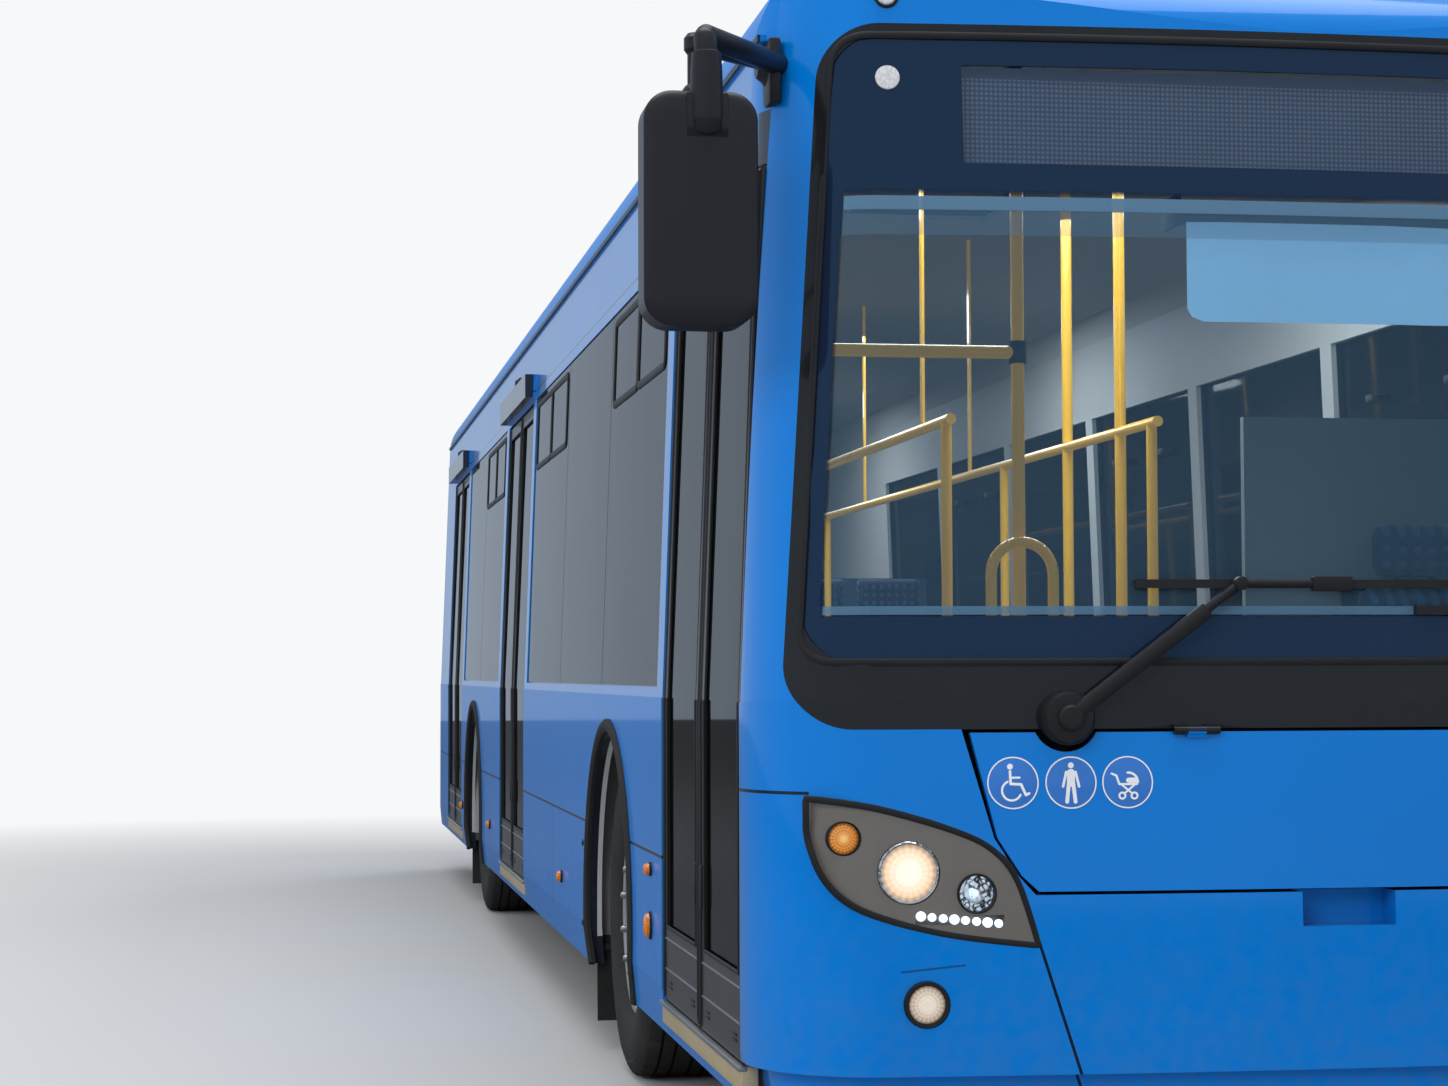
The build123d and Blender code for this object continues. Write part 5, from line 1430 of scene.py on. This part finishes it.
fasteners, door_lamps = bmesh.new(), bmesh.new()
for side, hand in hands:
    for x, z in ((2.50, 0.66), (2.50, 0.40), (-3.46, 0.66), (-3.46, 0.40)):
        head = [(-0.002, 0.011), (0.003, 0.010), (0.005, 0.006), (0.0055, 0)]
        lathe(fasteners, head, side_point(x, z, side), (0, side, 0), 20)
publish("skirt_fasteners", fasteners, finish["dark_plastic"])
for x in (-0.42, -4.37):
    at = side_point(x, 2.47, -1)
    bar(door_lamps, at - Vector((0.055, 0.022, 0.024)), at + Vector((0.055, 0.006, 0.024)), 0.008)
    lathe(door_lamps, [(0.018, 0.019), (0.028, 0.018), (0.032, 0.012), (0.033, 0)], at, (0, -1, 0), 20)
publish("door_lamps", door_lamps, finish["dark_plastic"])

# %% [markdown]
# ## Behind the windscreen
# A pale blue roller blind hangs at the driver's side, and a round sensor sits in the black top
# band. The blind is cloth. It is a grid of points with slight waves that fade out towards the
# roller, and its lower corners are cut.

# %% Sun blind and sensor
blind_right, blind_left, blind_foot, blind_top = -0.275, 1.02, 1.980, 2.20
roller_right, roller_left = -0.295, 1.04
columns, rows = 34, 8
blind, roller = bmesh.new(), bmesh.new()
grid = []
for i in range(columns + 1):
    y = blind_right + (blind_left - blind_right) * i / columns
    grid.append([])
    for j in range(rows + 1):
        z = blind_foot + (blind_top - blind_foot) * j / rows
        x = along_nose(5.79, y) + 0.0015 * math.sin(y * 40) * (1 - j / rows)
        cut = 0.010 if j == 0 and i in (0, columns) else 0.0
        grid[-1].append(blind.verts.new((x, y + (cut if i == 0 else -cut), z + cut)))
join_rows(blind, grid)
cloth_blind = publish("sun_blind", blind, finish["blind_blue"])
reach = roller_left - roller_right
tube = [(0, 0), (0, 0.018), (reach, 0.018), (reach, 0)]
lathe(roller, tube, (5.775, roller_right, 2.212), (0, 1, 0), 20)
for y in (roller_right, roller_left):
    bar(roller, (5.70, y - 0.006, 2.19), (5.80, y + 0.006, 2.26), 0.003)
publish("sun_blind_roller", roller, finish["dark_plastic"])

sensor = [(0.0005, 0.027), (0.003, 0.026), (0.004, 0.022), (0.0045, 0.010), (0.0046, 0)]
turned("screen_sensor", sensor, *on_front(-0.946, 2.495, ("windscreen",)), lens_white, 32)

# %% [markdown]
# ## Poles at the front
# Bright yellow poles stand beside the aisle behind the front doorway, each with a flange on the
# floor and one under the ceiling. A rail runs from the first pole to the wall, and a hoop at hand
# height helps passengers who board. Rays up and down find the ceiling and the floor.

# %% Poles, rail and hoop
def pole(bm, start, stop, radius=0.0175, steps=20):
    run = Vector(stop) - Vector(start)
    lathe(bm, [(0, 0), (0, radius), (run.length, radius), (run.length, 0)], start, run, steps)


flange = [(0, 0), (0, 0.042), (0.006, 0.040), (0.010, 0.026), (0.030, 0.022), (0.032, 0)]
clamp = [(-0.030, 0), (-0.030, 0.024), (0.030, 0.024), (0.030, 0)]
first_x, first_y = 4.40, -0.284
rail_z, hoop_radius = 2.07, 0.085
poles, flanges = bmesh.new(), bmesh.new()
for x, y in ((first_x, first_y), (2.80, 0.315), (3.38, 0.315)):
    top = land((x, y, 1.9), upwards, ("roof",))[0]
    foot = land((x, y, 1.9), -upwards, ("floor", "wheel_houses", "left_seats"))[0]
    pole(poles, foot, top)
    lathe(flanges, flange, foot, upwards, 24)
    lathe(flanges, flange, top, -upwards, 24)
pole(poles, (first_x, first_y, rail_z), (first_x, 0.06 - side_y(rail_z), rail_z))
lathe(flanges, clamp, (first_x, first_y, rail_z), upwards, 20)
hoop = [(0, 0, 1.26), (0.03, hoop_radius, 1.31)]
hoop += [(0.03, u, 1.475 + v) for u, v in arc(0, 0, hoop_radius, 0, 180, 14)]
hoop += [(0.03, -hoop_radius, 1.31), (0, 0, 1.26)]
hoop = [(first_x + dx, first_y + dy, z) for dx, dy, z in hoop]
for start, stop in zip(hoop, hoop[1:]):
    pole(poles, start, stop, 0.0150, 14)
publish("front_poles", poles, finish["yellow_coat"])
publish("front_pole_flanges", flanges, finish["dark_plastic"])

# %% [markdown]
# ## Cushions
# A seat pad is foam in a cloth cover: crowned in the middle, pulled in at the edge. A slab
# with soft edges is remeshed, then a cloth simulation with pressure inside blows it up a little.
# How far a point may move is capped, so that the pad keeps its size. One seat pad and one back
# pad are made and copied to all seats.

# %% Blow up a slab
def evaluated(thing):
    return thing.evaluated_get(bpy.context.evaluated_depsgraph_get())


def even_slab(name, size, voxel):
    """An object with soft edges, a little smaller than size, whose points are evenly spaced."""
    slab = bmesh.new()
    half = Vector([(side - 0.008) / 2 for side in size])
    bar(slab, -half, half, min(size) * 0.42)
    mesh = bpy.data.meshes.new(name)
    slab.to_mesh(mesh)
    slab.free()
    pad = bpy.data.objects.new(name, mesh)
    bpy.context.scene.collection.objects.link(pad)
    remesh = pad.modifiers.new("remesh", "REMESH")
    remesh.mode, remesh.voxel_size = "VOXEL", voxel
    bpy.context.view_layer.update()
    even = bpy.data.meshes.new_from_object(evaluated(pad))
    pad.modifiers.clear()
    pad.data = even
    return pad


def blow_up(pad, cap, steps=12):
    """Lets pressure push the points out, none of them further than cap."""
    settings = pad.modifiers.new("puff", "CLOTH").settings
    settings.use_pressure = True
    settings.uniform_pressure_force = 4.0
    settings.effector_weights.gravity = 0.0
    settings.quality = 4
    rest = [vertex.co.copy() for vertex in pad.data.vertices]
    for step in range(1, steps + 1):
        bpy.context.scene.frame_set(step)
    blown = [vertex.co.copy() for vertex in evaluated(pad).data.vertices]
    pad.modifiers.clear()
    bpy.context.scene.frame_set(1)
    for vertex, before, after in zip(pad.data.vertices, rest, blown):
        move = after - before
        if move.length > cap:
            move = move.normalized() * cap
        vertex.co = before + move


def puffed(name, size, voxel, cap=0.012):
    """A bmesh of a cushion that fills a box of about this size."""
    pad = even_slab(name, size, voxel)
    blow_up(pad, cap)
    made = bmesh.new()
    made.from_mesh(pad.data)
    made.verts.index_update()
    bpy.data.objects.remove(pad)
    print(name, "has", len(made.verts), "points")
    return made


def placed(target, source, place, turn=Matrix()):
    """Adds a copy of one bmesh to another at a place."""
    matrix = Matrix.Translation(place) @ turn
    verts = [target.verts.new(matrix @ vert.co) for vert in source.verts]
    for face in source.faces:
        target.faces.new([verts[vert.index] for vert in face.verts])


seat_pad = puffed("seat_pad", (0.40, 0.39, 0.055), 0.0125)
back_pad = puffed("back_pad", (0.055, 0.37, 0.56), 0.0125)

# %% [markdown]
# The pads go onto the shells: two side by side on each double seat, five across the rear bench.
# Their places follow from the rows of seats in the CAD model, so a list of rows is enough.

# %% Pads on every seat
seat_rows = (2.40, 1.62, 0.84, 0.06, -0.72, -1.50)
shell_y, half_seat = 0.76, 0.205
floor_seat, platform_seat = 0.365 + 0.44, 1.065 + 0.06  # tops of the shells on both levels
chairs = [("left_seats", x, shell_y, floor_seat) for x in seat_rows]
chairs.append(("left_seats", -2.48, shell_y, platform_seat))
chairs += [("right_seats", x, -shell_y, floor_seat) for x in seat_rows[:3]]
pad_places = {"left_seats": [], "right_seats": [], "rear_bench": []}
for name, x, y, top in chairs:
    for across in (y - half_seat, y + half_seat):
        pad_places[name].append(((x - 0.215, across, top + 0.018), (x - 0.416, across, top + 0.320)))
bench_low, bench_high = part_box("rear_bench")
x, z = bench_high.x, bench_low.z
for i in range(5):
    y = (i - 2) * 0.44
    pad_places["rear_bench"].append(((x - 0.215, y, z + 0.108), (x - 0.424, y, z + 0.370)))
for name, places in pad_places.items():
    pads = bmesh.new()
    for seat_at, back_at in places:
        placed(pads, seat_pad, seat_at)
        placed(pads, back_pad, back_at)
    covers = publish(f"{name}_pads", pads, cloth, "body", 60)

# %% [markdown]
# The driver's seat is thicker, with a raised edge on both sides and a head rest. It stands on
# a dark pedestal with rubber bellows, and it replaces the plain blocks of the CAD model.

# %% Driver's seat
low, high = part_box("driver_seat")
rear_x, middle_y = low.x, (low.y + high.y) / 2
base_pad = puffed("driver_base_pad", (0.46, 0.34, 0.10), 0.010)
driver_back = puffed("driver_back_pad", (0.085, 0.34, 0.52), 0.010)
side_pad = puffed("driver_side_pad", (0.42, 0.075, 0.11), 0.010)
head_pad = puffed("driver_head_pad", (0.075, 0.25, 0.15), 0.010)
stood_up = Matrix.Rotation(math.radians(90), 4, "Y")
pads = bmesh.new()
placed(pads, base_pad, (rear_x + 0.335, middle_y, 0.882))
placed(pads, driver_back, (rear_x + 0.058, middle_y, 1.190))
placed(pads, head_pad, (rear_x + 0.055, middle_y, 1.535))
for y in (middle_y - 0.200, middle_y + 0.200):
    placed(pads, side_pad, (rear_x + 0.330, y, 0.876))
    placed(pads, side_pad, (rear_x + 0.060, y, 1.180), stood_up)
driver_pads = publish("driver_seat_pads", pads, cloth, "body", 60)
frame_work = bmesh.new()
bar(frame_work, (rear_x + 0.06, middle_y - 0.20, 0.790), (high.x - 0.03, middle_y + 0.20, 0.836), 0.012)
bar(frame_work, (rear_x + 0.004, middle_y - 0.19, 0.84), (rear_x + 0.022, middle_y + 0.19, 1.45), 0.006)
for y in (middle_y - 0.05, middle_y + 0.05):
    pole(frame_work, (rear_x + 0.05, y, 1.40), (rear_x + 0.05, y, 1.50), 0.007, 14)
bellows = [(0, 0), (0, 0.13)]
for i in range(6):
    fold = 0.062 * i
    bellows += [(0.02 + fold, 0.135), (0.05 + fold, 0.115)]
bellows += [(0.42, 0.13), (0.425, 0)]
lathe(frame_work, bellows, (4.85, middle_y, 0.3655), upwards, 36)
seat_frame = publish("driver_seat_frame", frame_work, finish["soft_rubber"])
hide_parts("driver_seat")

# %% [markdown]
# ## Camera, floor and light
# The photograph was taken with a long lens from about head height of a seated person, a little
# to the right of the bus. The camera repeats that place, so that the two pictures can be laid side
# by side. Its place and angles were fitted to points of the bus that the photograph shows.

# %% Set the view
eye = Vector((11.6076, -2.2302, 1.2148))
yaw, pitch, roll = 0.1579, 0.0466, -0.003  # radians
focal_pixels, picture_width, sensor_width = 2780, 1448, 36.0
look = Vector((-math.cos(yaw) * math.cos(pitch), math.sin(yaw) * math.cos(pitch), math.sin(pitch)))
right = look.cross(upwards).normalized()
up = right.cross(look)
right_turned = right * math.cos(roll) + up * math.sin(roll)
up_turned = up * math.cos(roll) - right * math.sin(roll)
turn = Matrix((right_turned, up_turned, -look)).transposed()
camera_data = bpy.data.cameras.new("street_camera")
camera_data.sensor_width = sensor_width
camera_data.lens = focal_pixels / picture_width * sensor_width
camera_data.clip_end = 200
camera = bpy.data.objects.new("street_camera", camera_data)
camera.matrix_world = Matrix.Translation(eye) @ turn.to_4x4()
scene = bpy.context.scene
scene.collection.objects.link(camera)
scene.camera = camera
scene.view_settings.view_transform = "Standard"
print("focal length", round(camera_data.lens, 1), "mm")

# %% [markdown]
# The floor and the world are pale, as in a studio. A pale world alone would wash out the long
# glossy side of the bus, so rays that come from a reflection or pass through glass see a darker,
# bluish one. The Light Path node tells a shader which kind of ray asks.

# %% World and floor
daylight, backdrop = (0.95, 0.97, 1.0), (0.93, 0.94, 0.95)
mirrored_sky, mirrored_floor, plain_floor = (0.48, 0.57, 0.68), (0.16, 0.17, 0.19), (0.52, 0.53, 0.54)
no_light = (0.0, 0.0, 0.0)


def pale_world(strength):
    """A world that lights at a plain level, is pale to the camera and dimmer in reflections."""
    world = bpy.data.worlds.new("pale_studio")
    scene.world = world
    world.use_nodes = True
    tree = world.node_tree
    tree.nodes.clear()
    out = tree.nodes.new("ShaderNodeOutputWorld")
    path = tree.nodes.new("ShaderNodeLightPath")

    def background(colour, level):
        shade = tree.nodes.new("ShaderNodeBackground")
        shade.inputs[0].default_value = (*colour, 1)
        shade.inputs[1].default_value = level
        return shade.outputs[0]

    current = background(daylight, strength)
    dim, pale = background(mirrored_sky, 1.0), background(backdrop, 1.0)
    for ray, shade in (("Is Glossy Ray", dim), ("Is Transmission Ray", dim), ("Is Camera Ray", pale)):
        mixer = tree.nodes.new("ShaderNodeMixShader")
        for socket, source in zip(mixer.inputs, (path.outputs[ray], current, shade)):
            tree.links.new(source, socket)
        current = mixer.outputs[0]
    tree.links.new(current, out.inputs["Surface"])


def studio_floor():
    """A pale floor that keeps the shadow near the bus and fades into the backdrop far away."""
    f = Finish("pale_floor", Roughness=0.8, Specular_IOR_Level=0.0, Emission_Strength=1.0)
    at, x, y, z = f.place()
    away = length((abs(x) - 6.0).at_least(0.0), (abs(y) - 1.3).at_least(0.0))
    fade = ((away - 1.5) / 5.0).clamp() * f.node("ShaderNodeLightPath", {}, out="Is Camera Ray")
    mirrored = f.node("ShaderNodeLightPath", {}, out="Is Glossy Ray")
    f.set("Base Color", f.blend(fade, f.blend(mirrored, plain_floor, mirrored_floor), no_light))
    f.set("Emission Color", f.blend(fade, no_light, backdrop))
    return f.material


pale_world(0.6)
half, height = 60, -0.001
corners = [(-half, -half, height), (half, -half, height), (half, half, height), (-half, half, height)]
floor_mesh = bpy.data.meshes.new("pale_floor")
floor_mesh.from_pydata(corners, [], [(0, 1, 2, 3)])
floor_mesh.materials.append(studio_floor())
floor_plane = bpy.data.objects.new("pale_floor", floor_mesh)
scene.collection.objects.link(floor_plane)
print("floor is", 2 * half, "m wide")

# %% [markdown]
# Big soft lamps light the bus evenly from above, from both sides and from both ends. Three lamps
# under the ceiling brighten the saloon as daylight from all windows does. The three lamps that
# the flat sides would mirror as white patches are hidden from glossy rays.

# %% Lamps of the studio
# name, place, aimed at, size, power, whether reflections show it
lamp_table = [
    ("sky_lamp", (4, -1, 14), (0, 0, 0), 14, 1500, True),
    ("front_lamp", (16, -9, 7), (5, -0.5, 1.4), 7, 750, False),
    ("kerb_lamp", (1, -16, 7), (0, -1, 1.2), 9, 380, False),
    ("off_lamp", (-6, 15, 8), (-2, 1, 1.3), 9, 500, False),
    ("front_saloon_lamp", (3.4, 0, 2.70), (3.4, 0, 0), 1.6, 60, True),
    ("middle_saloon_lamp", (0.2, 0, 2.70), (0.2, 0, 0), 1.6, 50, True),
    ("rear_saloon_lamp", (-3.6, 0, 2.70), (-3.6, 0, 0), 1.6, 40, True),
    ("rear_lamp", (-15, 8, 8), (-6, 0, 1.3), 7, 500, True),
]
for name, place, aim, size, power, mirrored in lamp_table:
    data = bpy.data.lights.new(name, "AREA")
    data.shape, data.size, data.energy = "DISK", size, power
    lamp = bpy.data.objects.new(name, data)
    lamp.location = place
    lamp.rotation_euler = (Vector(aim) - Vector(place)).to_track_quat("-Z", "Y").to_euler()
    lamp.visible_glossy = mirrored
    scene.collection.objects.link(lamp)
print(len(lamp_table), "lamps")
